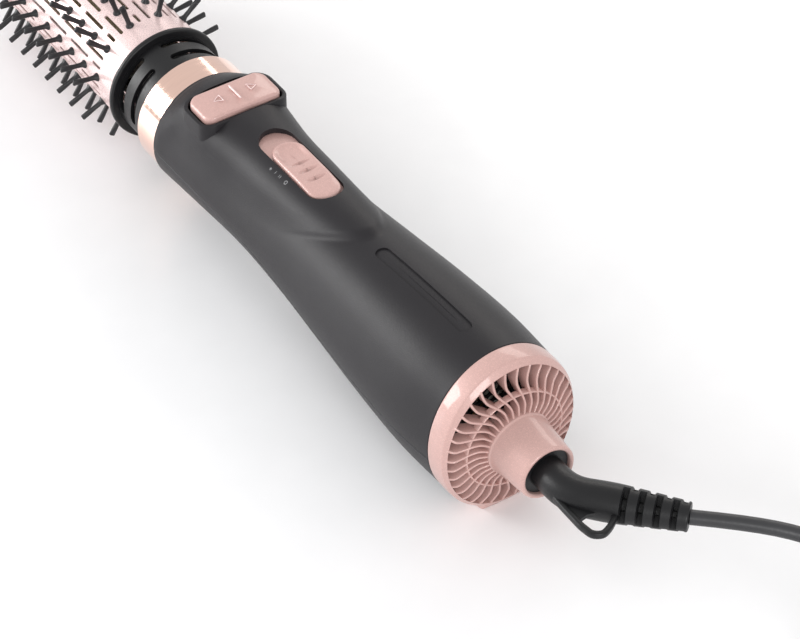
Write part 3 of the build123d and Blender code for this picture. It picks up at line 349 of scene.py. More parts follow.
ROSE = (0.6, 0.375, 0.34)
finishes = {
    "soft_touch": moulded(
        "soft_touch_charcoal", (0.018, 0.0165, 0.019), 0.44, 2600.0, 0.00004, 0.06, specular=0.26
    ),
    "rose_gold": flaked(
        "rose_metallic", ROSE, 0.5, 5200.0, 0.1, metallic=0.12, coat=0.55, coat_roughness=0.05
    ),
    "rose_gloss": brushed(
        "rose_polished", (0.9, 0.62, 0.52), 0.1, (1.0, 0.08, 0.08),
        depth=0.000002, contrast=0.02, coat=0.5,
    ),
    "barrel_pink": flaked("barrel_coating", (0.85, 0.66, 0.645), 0.3, 4000.0, 0.05, metallic=0.3),
    "black_satin": moulded(
        "black_moulding", (0.007, 0.007, 0.008), 0.4, 1500.0, 0.00005, 0.2, specular=0.36
    ),
    "bristle_nylon": moulded("bristle_nylon", (0.012, 0.012, 0.014), 0.4, 1800.0, 0.00003, 0.25),
    "inner_plastic": moulded("natural_moulding", (0.42, 0.4, 0.36), 0.5, 900.0, 0.00006),
    "steel": brushed("drawn_steel", (0.5, 0.5, 0.51), 0.33, (0.05, 1.0, 1.0)),
    "mica": layered_mica(),
    "heater_wire": brushed(
        "resistance_wire", (0.2, 0.17, 0.16), 0.5, (1.0, 1.0, 0.1), metallic=0.8
    ),
    "circuit_board": green_board(),
    "brass": brushed("drawn_brass", (0.66, 0.5, 0.22), 0.3, (0.1, 1.0, 1.0)),
    "cord_pvc": moulded("cord_sheath", (0.03, 0.03, 0.033), 0.42, 1300.0, 0.00004, 0.15),
    "tie_fabric": woven_tape(),
}
for subpart in frame["record"]["subparts"]:
    node = nodes[subpart["node"]]
    if not node.material_slots:
        node.data.materials.append(None)
    for place_of_material in node.material_slots:
        place_of_material.material = finishes[subpart["material_slot"]]
mains_cord.data.materials.append(finishes["cord_pvc"])


# ---- mesh building: lengths in millimetres, z measured from the long axis ----
def add_piece(name, points, faces, body, slot, replaced=(), cutters=(), sharp=32.0):
    """Makes a smooth-shaded piece, cuts it, and hangs it on its body."""
    mesh = bpy.data.meshes.new(name)
    mesh.from_pydata([(x * MM, y * MM, AXIS_Z + z * MM) for x, y, z in points], [], faces)
    clean(mesh)
    piece = bpy.data.objects.new(name, mesh)
    bpy.context.scene.collection.objects.link(piece)
    for cutter in cutters:
        cut(piece, cutter)
    mesh = piece.data
    mesh.polygons.foreach_set("use_smooth", [True] * len(mesh.polygons))
    mesh.set_sharp_from_angle(angle=radians(sharp))
    mesh.materials.clear()
    mesh.materials.append(finishes[slot])
    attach(piece, body)
    if replaced:
        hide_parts(*replaced)
    return piece


def clean(mesh):
    """Welds doubled points and turns every face outwards."""
    shell = bmesh.new()
    shell.from_mesh(mesh)
    bmesh.ops.remove_doubles(shell, verts=shell.verts, dist=1e-6)
    bmesh.ops.recalc_face_normals(shell, faces=shell.faces)
    shell.to_mesh(mesh)
    shell.free()


def cut(piece, cutter):
    """Takes one solid (points, faces) out of a piece."""
    mesh = bpy.data.meshes.new("cutter")
    mesh.from_pydata([(x * MM, y * MM, AXIS_Z + z * MM) for x, y, z in cutter[0]], [], cutter[1])
    clean(mesh)
    tool = bpy.data.objects.new("cutter", mesh)
    bpy.context.scene.collection.objects.link(tool)
    modifier = piece.modifiers.new("cut", "BOOLEAN")
    modifier.operation = "DIFFERENCE"
    modifier.solver = "EXACT"
    modifier.object = tool
    bpy.context.view_layer.update()
    seen = piece.evaluated_get(bpy.context.evaluated_depsgraph_get())
    result = bpy.data.meshes.new_from_object(seen)
    piece.modifiers.clear()
    piece.data = result
    bpy.data.objects.remove(tool)


def bridge(rings, closed=True, cap_first=False, cap_last=False):
    """Faces between rings of equal length, whose points are numbered ring after ring."""
    count = len(rings[0])
    faces = []
    for k in range(len(rings) - 1):
        for i in range(count if closed else count - 1):
            j = (i + 1) % count
            faces.append((k * count + i, k * count + j, (k + 1) * count + j, (k + 1) * count + i))
    if cap_first:
        faces.append(tuple(reversed(range(count))))
    if cap_last:
        faces.append(tuple(range((len(rings) - 1) * count, len(rings) * count)))
    return faces


def stacked(rings, **caps):
    """Points and faces of a tube through rings."""
    return [point for ring in rings for point in ring], bridge(rings, **caps)


def join(*solids):
    """One list of points and faces from several."""
    points = []
    faces = []
    for more_points, more_faces in solids:
        start = len(points)
        points += more_points
        faces += [tuple(index + start for index in face) for face in more_faces]
    return points, faces


def lathe(profile, segments=144, wide=1.0, tall=1.0):
    """Solid from a closed (x, radius) profile turned about the long axis."""
    rings = []
    for step in range(segments):
        angle = 2 * pi * step / segments
        rings.append([(x, wide * r * cos(angle), tall * r * sin(angle)) for x, r in profile])
    rings.append(rings[0])
    return stacked(rings)


def smooth_through(stations, column, x):
    """Smooth value at x of one column of a table of stations."""
    table = np.array(stations, float)
    places, values = table[:, 0], table[:, column]
    slopes = np.gradient(values, places)
    k = np.clip(np.searchsorted(places, x) - 1, 0, len(places) - 2)
    width = places[k + 1] - places[k]
    t = (x - places[k]) / width
    return (
        (2 * t**3 - 3 * t**2 + 1) * values[k]
        + (t**3 - 2 * t**2 + t) * width * slopes[k]
        + (3 * t**2 - 2 * t**3) * values[k + 1]
        + (t**3 - t**2) * width * slopes[k + 1]
    )


def ease(t):
    """Soft step from 0 to 1."""
    t = np.clip(t, 0.0, 1.0)
    return t * t * (3 - 2 * t)


# ---- handle: outer form ----
SHELL_FRONT = shell_low.x / MM
SHELL_REAR = shell_high.x / MM
HANDLE = [  # station, half width, half height
    (-38.0, 24.3, 24.32),
    (-14.0, 23.2, 23.22),
    (16.0, 22.15, 22.17),
    (46.0, 23.0, 24.5),
    (76.0, 25.2, 28.0),
    (106.0, 27.6, 31.2),
    (136.0, 29.0, 33.0),
    (156.0, 28.2, 33.0),
]
FAIRING = [  # station, half width, centre, top, squareness
    (-38.0, 24.0, 0.0, 24.1, 2.0),
    (-33.0, 22.8, 2.5, 26.6, 2.3),
    (-27.0, 21.2, 5.5, 28.8, 2.9),
    (-16.0, 20.8, 6.0, 29.2, 3.1),
    (-5.0, 20.2, 7.0, 29.0, 2.6),
    (8.0, 18.8, 8.5, 28.9, 2.3),
    (30.0, 17.8, 10.0, 29.0, 2.2),
    (50.0, 16.6, 11.5, 29.2, 2.2),
    (70.0, 14.2, 14.0, 29.7, 2.2),
    (84.0, 12.0, 16.0, 30.2, 2.2),
]
PARTING = [(-38.0, -1.0), (-8.0, -3.0), (21.0, -4.7), (66.0, -8.8), (121.0, -7.4), (156.0, -5.2)]
FAIRING_END = 78.0       # where the fairing's tail drops back to the handle
TAIL_SWEEP = 0.095       # how fast the tail's edge runs forward towards the sides
TAIL_DROP = 3.2          # length of the drop
BLEND_WIDTH = 2.4        # width of the soft valley at the fairing's foot
FRONT_BLEND = 3.0        # length over which the fairing rises from the collar
FARTHEST = 60.0          # radius outside the whole handle
HALVINGS = 36
SKIN = 2.2


def outer_radius(x, angle):
    """Distance of the handle's surface from the axis, at a station and a direction."""
    across, up = np.cos(angle), np.sin(angle)
    half_width = smooth_through(HANDLE, 1, x)
    half_height = smooth_through(HANDLE, 2, x)
    plain = 1 / np.sqrt((across / half_width) ** 2 + (up / half_height) ** 2)
    wide = smooth_through(FAIRING, 1, x)
    centre = smooth_through(FAIRING, 2, x)
    tall = smooth_through(FAIRING, 3, x) - centre
    square = smooth_through(FAIRING, 4, x)
    low, high = np.zeros_like(plain), np.full_like(plain, FARTHEST)
    for _ in range(HALVINGS):
        middle = (low + high) / 2
        reach = np.abs(middle * across / wide) ** square
        reach = reach + np.abs((middle * up - centre) / tall) ** square
        low = np.where(reach < 1, middle, low)
        high = np.where(reach < 1, high, middle)
    proud = low - plain
    blend = np.clip(BLEND_WIDTH - np.abs(proud), 0, None)
    joined = np.maximum(proud, 0) + blend**2 / (4 * BLEND_WIDTH)
    tail = FAIRING_END - TAIL_SWEEP * (plain * across) ** 2
    joined = joined * (1 - ease((x - tail + TAIL_DROP) / (2 * TAIL_DROP)))
    joined = joined * ease((x - SHELL_FRONT) / FRONT_BLEND) * (up > 0)
    return plain + joined


PARTING_GAP = 0.16       # half of the dark line between the shells
EDGE_ROUND = 0.25
UPPER_COLUMNS, LOWER_COLUMNS = 171, 101    # points round each half
STATION_STEP = 1.0


def shell_skin(upper):
    """Closed skin of one half of the handle."""
    stations = [SHELL_FRONT, SHELL_FRONT + EDGE_ROUND]
    stations += list(np.arange(SHELL_FRONT + STATION_STEP, SHELL_REAR - 0.9, STATION_STEP))
    stations += [SHELL_REAR - EDGE_ROUND, SHELL_REAR]
    columns = UPPER_COLUMNS if upper else LOWER_COLUMNS
    outside, inside = [], []
    for i, x in enumerate(stations):
        half_width = smooth_through(HANDLE, 1, x)
        half_height = smooth_through(HANDLE, 2, x)
        dip = asin(smooth_through(PARTING, 1, x) / half_height)
        gap, lip = PARTING_GAP / half_width, (PARTING_GAP + EDGE_ROUND) / half_width
        start, end = (dip, pi - dip) if upper else (pi - dip, 2 * pi + dip)
        turns = np.concatenate((
            [start + gap],
            np.linspace(start + lip, end - lip, columns - 2),
            [end - gap],
        ))
        angle = np.arctan2(half_height * np.sin(turns), half_width * np.cos(turns))
        radius = outer_radius(np.full_like(angle, x), angle)
        inner = radius - SKIN
        radius[0] -= EDGE_ROUND
        radius[-1] -= EDGE_ROUND
        if i in (0, len(stations) - 1):
            radius = radius - EDGE_ROUND
        for ring, reach in ((outside, radius), (inside, inner)):
            ring.append([
                (float(x), float(r * cos(a)), float(r * sin(a))) for r, a in zip(reach, angle)
            ])
    rings = [row + list(reversed(hollow)) for row, hollow in zip(outside, inside)]
    return stacked(rings, cap_first=True, cap_last=True)


def capsule(start, end, width, steps=28, inset=0.0, grain=1.2):
    """Outline of a long round-ended shape lying along X, as (x, y) points."""
    radius = width / 2 - inset
    first, last = start + width / 2, end - width / 2
    outline = []
    straight = max(int((last - first) / grain), 1)
    for i in range(straight):
        outline.append((first + (last - first) * i / straight, -radius))
    for i in range(steps):
        turn = -pi / 2 + pi * i / steps
        outline.append((last + radius * cos(turn), radius * sin(turn)))
    for i in range(straight):
        outline.append((last - (last - first) * i / straight, radius))
    for i in range(steps):
        turn = pi / 2 + pi * i / steps
        outline.append((first + radius * cos(turn), radius * sin(turn)))
    return outline


def prism(outline, low, high):
    """Upright solid between two heights."""
    return stacked(
        [[(x, y, low) for x, y in outline], [(x, y, high) for x, y in outline]],
        cap_first=True,
        cap_last=True,
    )


def box_outline(middle, length, width, corner, steps=8):
    """Rounded rectangle about (middle, 0)."""
    a, b = length / 2, width / 2
    outline = []
    for k, (sx, sy) in enumerate([(1, 1), (-1, 1), (-1, -1), (1, -1)]):
        for i in range(steps + 1):
            turn = pi / 2 * (k + i / steps)
            outline.append((
                middle + sx * (a - corner) + corner * cos(turn),
                sy * (b - corner) + corner * sin(turn),
            ))
    return outline


def handle_top(x, y):
    """Height of the plain handle above the axis at (x, y)."""
    half_width = smooth_through(HANDLE, 1, x)
    half_height = smooth_through(HANDLE, 2, x)
    return float(half_height * sqrt(1 - (y / half_width) ** 2))


# ---- handle: openings, and the recessed panel on top ----
ROCKER_X = (rocker_low.x + rocker_high.x) / 2 / MM
ROCKER_LENGTH = (rocker_high.x - rocker_low.x) / MM
ROCKER_WIDTH = (rocker_high.y - rocker_low.y) / MM
ROCKER_TOP = (rocker_high.z - AXIS_Z) / MM
WELL_LENGTH = ROCKER_LENGTH + 1.0
WELL_WIDTH = ROCKER_WIDTH + 1.8
WELL_CORNER = 4.2
BEZEL = 1.6
SLIDE_START, SLIDE_END, SLIDE_WIDTH = 7.4, 53.4, 14.5
PANEL_START, PANEL_END, PANEL_WIDTH = 86.5, 143.0, 5.6
PANEL_DEPTH = 0.6
PANEL_Y = -2.6            # the panel lies a little to the left of the middle
PANEL_STEPS = 14
PANEL_INSETS = (0.0, 0.9, 1.8, 2.7)
SLIDE_FLOOR, WELL_FLOOR = 15.0, 12.0    # depths of the openings, above the axis
CUT_TOP, PANEL_CUT_TOP = 40.0, 45.0
WELL_OVERLAP = 0.4        # how far the tray's wall reaches under the skin


def panel_cutter():
    """Follows the handle's top, so that the recessed panel has an even depth."""
    rings = [
        [
            (x, y + PANEL_Y, PANEL_CUT_TOP)
            for x, y in capsule(PANEL_START, PANEL_END, PANEL_WIDTH, PANEL_STEPS)
        ]
    ]
    for inset in PANEL_INSETS:
        ring = capsule(PANEL_START, PANEL_END, PANEL_WIDTH, PANEL_STEPS, inset)
        rings.append([
            (x, y + PANEL_Y, handle_top(x, y + PANEL_Y) - PANEL_DEPTH) for x, y in ring
        ])
    return stacked(rings, cap_first=True, cap_last=True)


well_outline = box_outline(
    ROCKER_X,
    WELL_LENGTH + 2 * BEZEL - WELL_OVERLAP,
    WELL_WIDTH + 2 * BEZEL - WELL_OVERLAP,
    WELL_CORNER + BEZEL,
)
upper_points, upper_faces = shell_skin(True)
add_piece(
    "handle_upper_skin", upper_points, upper_faces, "handle", "soft_touch",
    replaced=["upper_shell"],
    cutters=[
        prism(capsule(SLIDE_START, SLIDE_END, SLIDE_WIDTH), SLIDE_FLOOR, CUT_TOP),
        prism(well_outline, WELL_FLOOR, CUT_TOP),
        panel_cutter(),
    ],
)
add_piece("handle_lower_skin", *shell_skin(False), "handle", "soft_touch", replaced=["lower_shell"])


RIM_TOP, RIM_FALL, RIM_HALF = 29.4, 2.0, 18.0
TRAY_FLOOR = 23.0
BEZEL_PROFILE = [  # distance out from the well, height above the rim
    (BEZEL, -13.0), (BEZEL, -0.45), (BEZEL - 0.14, -0.14), (BEZEL - 0.45, 0.0),
    (0.4, 0.0), (0.12, -0.12), (0.0, -0.4),
]


def rim_height(y):
    """Top of the wall around the rocker; it follows the rocker's crown."""
    return RIM_TOP - RIM_FALL * (y / RIM_HALF) ** 2


def bezel():
    """Tray that the rocker sits in, with a rounded rim."""
    rings = []
    for grow, lift in BEZEL_PROFILE:
        outline = box_outline(
            ROCKER_X, WELL_LENGTH + 2 * grow, WELL_WIDTH + 2 * grow, WELL_CORNER + grow
        )
        rings.append([(x, y, rim_height(y) + lift) for x, y in outline])
    outline = box_outline(ROCKER_X, WELL_LENGTH, WELL_WIDTH, WELL_CORNER)
    rings.append([(x, y, TRAY_FLOOR) for x, y in outline])
    return stacked(rings, cap_first=True, cap_last=True)


add_piece("rocker_bezel", *bezel(), "handle", "soft_touch")


# ---- rocker ----
ROCKER_SKIRT = 5.6       # height of the cap's lower edge above the rocker's lowest point
ROCKER_FALL, ROCKER_HALF = 2.2, 16.5
ROCKER_CORNER, INNER_CORNER = 4.0, 0.6
ROCKER_PROFILE = [  # distance in from the edge, depth below the crown; None is the lower edge
    (0.0, None), (0.0, 1.1), (0.08, 0.7), (0.3, 0.32), (0.62, 0.1), (1.0, 0.02), (1.5, 0.0),
    (3.0, 0.0), (5.0, 0.0), (7.0, 0.0),
]


def rocker_surface(x, y):
    """Height of the crown above the axis; it is the same at every station x."""
    return ROCKER_TOP - ROCKER_FALL * (y / ROCKER_HALF) ** 2


def rocker():
    """Crowned cap of the rocker."""
    base = (rocker_low.z - AXIS_Z) / MM + ROCKER_SKIRT
    rings = []
    for inset, drop in ROCKER_PROFILE:
        corner = max(ROCKER_CORNER - inset, INNER_CORNER)
        outline = box_outline(
            ROCKER_X, ROCKER_LENGTH - 2 * inset, ROCKER_WIDTH - 2 * inset, corner
        )
        rings.append([
            (x, y, base if drop is None else rocker_surface(x, y) - drop) for x, y in outline
        ])
    return stacked(rings, cap_first=True, cap_last=True)


STROKE_GRAIN = 0.5       # longest distance between a line's sections
STROKE_TAPER = 0.35      # share of the section at an open end


def stroke(route, width, height, surface, slices=10, closed=False):
    """Raised line with a round top along (x, y) points on a surface."""
    places = []
    pairs = list(zip(route, route[1:] + route[:1])) if closed else list(zip(route, route[1:]))
    for (x0, y0), (x1, y1) in pairs:
        count = max(int(hypot(x1 - x0, y1 - y0) / STROKE_GRAIN), 1)
        places += [(x0 + (x1 - x0) * i / count, y0 + (y1 - y0) * i / count) for i in range(count)]
    if not closed:
        places.append(route[-1])
    rings = []
    total = len(places)
    for i, (x, y) in enumerate(places):
        before = places[i - 1] if i > 0 or closed else places[i]
        after = places[(i + 1) % total] if i < total - 1 or closed else places[i]
        run = Vector((after[0] - before[0], after[1] - before[1])).normalized()
        taper = 1.0 if closed or 0 < i < total - 1 else STROKE_TAPER
        ring = []
        for step in range(slices):
            turn = 2 * pi * step / slices
            side = width / 2 * cos(turn) * taper
            lift = height * sin(turn) * taper
            px, py = x - run.y * side, y + run.x * side
            ring.append((px, py, surface(px, py) + lift))
        rings.append(ring)
    if closed:
        rings.append(rings[0])
        return stacked(rings)
    return stacked(rings, cap_first=True, cap_last=True)


add_piece(
    "rocker_cap", *rocker(), "rotation_rocker", "rose_gold", replaced=["rocker_button"]
)
MARK_HALF = 4.6          # half length of the middle bar
ARROW_NEAR, ARROW_TIP, ARROW_HALF = 6.0, 9.2, 1.9
BAR_WIDTH, BAR_HEIGHT = 0.8, 0.4
ARROW_WIDTH, ARROW_HEIGHT = 0.36, 0.16
bar = [(ROCKER_X - MARK_HALF, 0.0), (ROCKER_X + MARK_HALF, 0.0)]
raised = [stroke(bar, BAR_WIDTH, BAR_HEIGHT, rocker_surface)]
for side in (-1, 1):
    arrow = [
        (ROCKER_X - ARROW_HALF, side * ARROW_NEAR),
        (ROCKER_X + ARROW_HALF, side * ARROW_NEAR),
        (ROCKER_X, side * ARROW_TIP),
    ]
    raised.append(stroke(arrow, ARROW_WIDTH, ARROW_HEIGHT, rocker_surface, closed=True))
# Painted highlight: the raised marks take the paler barrel pink so they look lit against the rose
# rocker.
add_piece("rocker_marks", *join(*raised), "rotation_rocker", "barrel_pink")

# ---- slide knob ----
KNOB_FRONT = knob_low.x / MM
KNOB_REAR = knob_high.x / MM
KNOB_WIDTH = (knob_high.y - knob_low.y) / MM
KNOB_BASE = (knob_low.z - AXIS_Z) / MM
KNOB_TOP = (knob_high.z - AXIS_Z) / MM
LENS_MARKS = (30.0, 35.2, 40.6)
LENS_HALF, LENS_WIDTH, LENS_DEPTH = 4.6, 1.0, 0.75
RIM_DROP = 0.9           # how much lower the knob's rear end is
DISH_DEPTH = 1.15
REAR_SWELL = 0.25
KNOB_EDGE = [  # distance in from the edge, depth below the top; None is the lower edge
    (0.0, None), (0.0, 0.9), (0.1, 0.5), (0.35, 0.2), (0.7, 0.04),
]
KNOB_RINGS = 21          # rings between the edge and the middle


def knob_height(x, y, inset):
    """Dished top of the knob with three lens-shaped grip marks."""
    share = (x - KNOB_FRONT) / (KNOB_REAR - KNOB_FRONT)
    rim = KNOB_TOP - RIM_DROP * ease((share - 0.55) / 0.45)
    inside = ease((inset - 0.4) / 2.2)
    dish = DISH_DEPTH * inside * (1 - ease(abs(share - 0.2) / 0.28))
    height = rim - dish + REAR_SWELL * inside * ease((share - 0.6) / 0.3)
    for mark in LENS_MARKS:
        narrow = 1 - (y / LENS_HALF) ** 2
        if narrow > 0:
            across = 1 - ((x - mark) / (LENS_WIDTH * narrow + 0.05)) ** 2
            height -= LENS_DEPTH * narrow * max(across, 0)
    return float(height)


def knob():
    """Round-ended knob with a soft edge."""
    rings = []
    fine = dict(steps=40, grain=0.3)
    for inset, drop in KNOB_EDGE:
        outline = capsule(KNOB_FRONT, KNOB_REAR, KNOB_WIDTH, inset=inset, **fine)
        rings.append([
            (x, y, KNOB_BASE if drop is None else knob_height(x, y, inset) - drop)
            for x, y in outline
        ])
    for k in range(1, KNOB_RINGS + 1):
        inset = KNOB_EDGE[-1][0] + (KNOB_WIDTH / 2 - 0.75) * k / KNOB_RINGS
        outline = capsule(KNOB_FRONT, KNOB_REAR, KNOB_WIDTH, inset=inset, **fine)
        rings.append([(x, y, knob_height(x, y, inset)) for x, y in outline])
    return stacked(rings, cap_first=True, cap_last=True)


add_piece(
    "slide_knob_cap", *knob(), "heat_slider", "rose_gold", replaced=["slide_knob"], sharp=50.0
)


# ---- rear ring ----
RING_FRONT = ring_low.x / MM
RING_REAR = ring_high.x / MM
RING = [  # station, half width, half height
    (RING_FRONT, 28.2, 33.0),
    (RING_FRONT + 5.0, 28.1, 33.3),
    (RING_REAR, 27.6, 32.9),
]
OPENING = (26.6, 30.5)
RING_EDGE = 2.4          # length of the bevelled rear edge
RING_STEPS = 180
RING_CHAMFER = 0.3
MOUTH = [(0.35, 0.0), (6.0, 0.0), (6.0, 0.4)]    # depth behind the rear edge, growth
BEVEL = [  # distance in front of the ring's end, share of the wall's thickness
    (2.2, 0.985), (2.0, 0.95), (1.8, 0.895), (1.7, 0.845), (0.6, 0.27), (0.5, 0.22),
    (0.25, 0.1), (0.08, 0.035),
]
REST_HALF_WIDTH = 9.0
REST_BLEND = 4.0


def ring_section(x, wide, tall, segments=RING_STEPS):
    """One ellipse of the ring; its underside is drawn down to the flat that the object rests on."""
    floor_level = -AXIS_Z / MM
    along = ease((x - RING_FRONT - 0.5) / 1.5) * ease((RING_REAR - 0.8 - x) / 1.5)
    section = []
    for step in range(segments):
        turn = 2 * pi * step / segments
        y, z = wide * cos(turn), tall * sin(turn)
        if z < 0:
            share = along * ease((REST_HALF_WIDTH + REST_BLEND - abs(y)) / REST_BLEND)
            z += (floor_level - z) * float(share)
        section.append((float(x), y, z))
    return section


def ring():
    """Hollow ring with a bevelled rear edge."""
    sections = [
        ring_section(RING_FRONT, RING[0][1] - RING_CHAMFER, RING[0][2] - RING_CHAMFER),
        ring_section(RING_FRONT + RING_CHAMFER, RING[0][1], RING[0][2]),
    ]
    for x in np.linspace(RING_FRONT + 1.0, RING_REAR - RING_EDGE, 14):
        sections.append(ring_section(x, smooth_through(RING, 1, x), smooth_through(RING, 2, x)))
    edge = (
        smooth_through(RING, 1, RING_REAR - RING_EDGE),
        smooth_through(RING, 2, RING_REAR - RING_EDGE),
    )
    for back, share in BEVEL:
        wide, tall = (inside + (outside - inside) * share for inside, outside in zip(OPENING, edge))
        sections.append(ring_section(RING_REAR - back, wide, tall))
    for back, grow in MOUTH:
        sections.append([
            (
                RING_REAR - back,
                (OPENING[0] + grow) * cos(2 * pi * step / RING_STEPS),
                (OPENING[1] + grow) * sin(2 * pi * step / RING_STEPS),
            )
            for step in range(RING_STEPS)
        ])
    sections.append(
        ring_section(RING_FRONT, OPENING[0] + RING_CHAMFER, OPENING[1] + RING_CHAMFER)
    )
    sections.append(sections[0])
    return stacked(sections)


add_piece("rear_ring_skin", *ring(), "handle", "rose_gold", replaced=["rear_ring"], sharp=50.0)

# ---- rear grille: curved fins, a thin middle ring and the boss of the cord swivel ----
FIN_COUNT = 36
FIN_START = (12.2, 170.9)    # radius and station of the fins' crests at the boss
FIN_END = (30.0, 166.0)
FIN_DEPTH = 5.2
FIN_FALL = 0.9           # slope of a crest where it comes down to the ring
FIN_HALF, FIN_WIDENING = 0.4, 0.1    # half width at the boss, how much wider at the ring
FIN_SUNK = 0.25          # depth of a crest below the ring's rear edge
FIN_END_TURN = 5.0       # degrees round at which a fin meets the ring
FIN_OVERLAP = 0.3
FIN_CURVE = [  # radius, degrees round from the fin's own direction
    (12.2, 0.5), (14.5, -0.8), (16.0, -1.2), (18.0, 0.5), (20.0, 3.0),
    (22.0, 5.5), (24.5, 7.6), (27.0, 7.3), (30.0, 5.7), (32.0, 4.6),
]
FIN_SECTION = [  # share of the half width, depth below the crest
    (1.0, FIN_DEPTH), (1.0, 0.42), (0.86, 0.17), (0.5, 0.03), (0.0, 0.0),
    (-0.5, 0.03), (-0.86, 0.17), (-1.0, 0.42), (-1.0, FIN_DEPTH),
]
MIDDLE_RING = 20.0
MIDDLE_HALF, MIDDLE_EDGE, MIDDLE_DEPTH = 0.4, 0.22, 2.6
BOSS_START, BOSS_BORE = 164.0, 9.3


def crest(radius):
    """Station of the fins' crests at a radius: they lie on a flat cone."""
    share = (radius - FIN_START[0]) / (FIN_END[0] - FIN_START[0])
    return FIN_START[1] + (FIN_END[1] - FIN_START[1]) * share


def fin(direction, steps=20):
    """One fin from the boss to the ring."""
    toward = radians(direction + FIN_END_TURN)
    reach = 1 / hypot(cos(toward) / OPENING[0], sin(toward) / OPENING[1]) + FIN_OVERLAP
    centres = []
    for i in range(steps + 1):
        radius = FIN_START[0] + (reach - FIN_START[0]) * i / steps
        angle = radians(direction + float(smooth_through(FIN_CURVE, 1, radius)))
        centres.append(Vector((radius * cos(angle), radius * sin(angle))))
    rings = []
    for i, centre in enumerate(centres):
        run = (centres[min(i + 1, steps)] - centres[max(i - 1, 0)]).normalized()
        half = FIN_HALF + FIN_WIDENING * i / steps
        top = min(crest(centre.length), RING_REAR - FIN_SUNK + FIN_FALL * (reach - centre.length))
        rings.append([
            (top - depth, centre.x - run.y * half * side, centre.y + run.x * half * side)
            for side, depth in FIN_SECTION
        ])
    return stacked(rings, cap_first=True, cap_last=True)


middle_top = crest(MIDDLE_RING) - 0.25
middle_ring = lathe([
    (middle_top - MIDDLE_DEPTH, MIDDLE_RING + MIDDLE_HALF),
    (middle_top - 0.35, MIDDLE_RING + MIDDLE_HALF),
    (middle_top - 0.08, MIDDLE_RING + MIDDLE_EDGE),
    (middle_top, MIDDLE_RING),
    (middle_top - 0.08, MIDDLE_RING - MIDDLE_EDGE),
    (middle_top - 0.35, MIDDLE_RING - MIDDLE_HALF),
    (middle_top - MIDDLE_DEPTH, MIDDLE_RING - MIDDLE_HALF),
])
BOSS_END = grille_high.x / MM
boss = lathe([
    (BOSS_START, 12.5), (FIN_START[1] - 0.1, 12.95), (FIN_START[1] + 0.25, 12.9),
    (FIN_START[1] + 0.5, 12.62), (FIN_START[1] + 0.9, 12.5), (BOSS_END - 6.0, 11.55),
    (BOSS_END - 1.2, 11.12), (BOSS_END - 0.55, 10.97), (BOSS_END - 0.15, 10.65),
    (BOSS_END, 10.2), (BOSS_END - 0.12, 9.75), (BOSS_END - 0.45, 9.42),
    (BOSS_END - 1.0, BOSS_BORE), (BOSS_START, BOSS_BORE),
])
fins = [fin(360.0 * k / FIN_COUNT) for k in range(FIN_COUNT)]
add_piece(
    "rear_grille_moulding", *join(boss, middle_ring, *fins), "handle", "rose_gold",
    replaced=["rear_grille"], sharp=45.0,
)

# ---- bristles ----
BRISTLE_ROWS = 11
BRISTLES_PER_ROW = 10
BRISTLE_PITCH = 9.9
FIRST_BRISTLE = -84.6
BRISTLE = [  # radius from the long axis, half size round the barrel, half size along it
    (21.2, 1.9, 1.9), (22.9, 1.7, 1.7), (23.3, 1.35, 1.35), (24.2, 1.0, 1.0), (27.0, 1.02, 0.82),
    (30.0, 1.15, 0.68), (32.9, 1.22, 0.62), (33.15, 1.05, 0.5), (33.25, 0.7, 0.3),
]
STRIP = (-175.4, -80.0, 5.0)     # first and last station, width
STRIP_LEVELS = (20.45, 21.25)
FLAT_START, FLAT_LENGTH = 26.0, 4.0    # radius where a bristle turns flat, over which length
FLAT_SQUARENESS = 0.45


def radial(x, around, out, direction):
    """Point at a station, a distance round the barrel and a distance out from the axis."""
    return (
        x,
        out * cos(direction) - around * sin(direction),
        out * sin(direction) + around * cos(direction),
    )


def bristle(x, direction, segments=12):
    """One bristle, round at its foot and flat at its tip."""
    rings = []
    for out, around, along in BRISTLE:
        square = 1.0 - FLAT_SQUARENESS * ease((out - FLAT_START) / FLAT_LENGTH)
        section = []
        for step in range(segments):
            turn = 2 * pi * (step + 0.5) / segments
            a = abs(cos(turn)) ** square * (1 if cos(turn) > 0 else -1)
            b = abs(sin(turn)) ** square * (1 if sin(turn) > 0 else -1)
            section.append(radial(float(x + along * b), float(around * a), out, direction))
        rings.append(section)
    return stacked(rings, cap_first=True, cap_last=True)


def bristle_row(direction):
    """A strip with its row of bristles."""
    low, high = STRIP_LEVELS
    outline = capsule(STRIP[0], STRIP[1], STRIP[2], 8, grain=12.0)
    base = stacked(
        [[radial(x, y, out, direction) for x, y in outline] for out in (low, high)],
        cap_first=True,
        cap_last=True,
    )
    places = [FIRST_BRISTLE - BRISTLE_PITCH * k for k in range(BRISTLES_PER_ROW)]
    return join(base, *(bristle(x, direction) for x in places))


for row in range(BRISTLE_ROWS):
    direction = radians(270.0 + 360.0 * row / BRISTLE_ROWS)
    add_piece(
        f"bristle_row_{row + 1}", *bristle_row(direction), "brush_head", "bristle_nylon",
        replaced=[f"bristle_strip_{row + 1}"], sharp=40.0,
    )

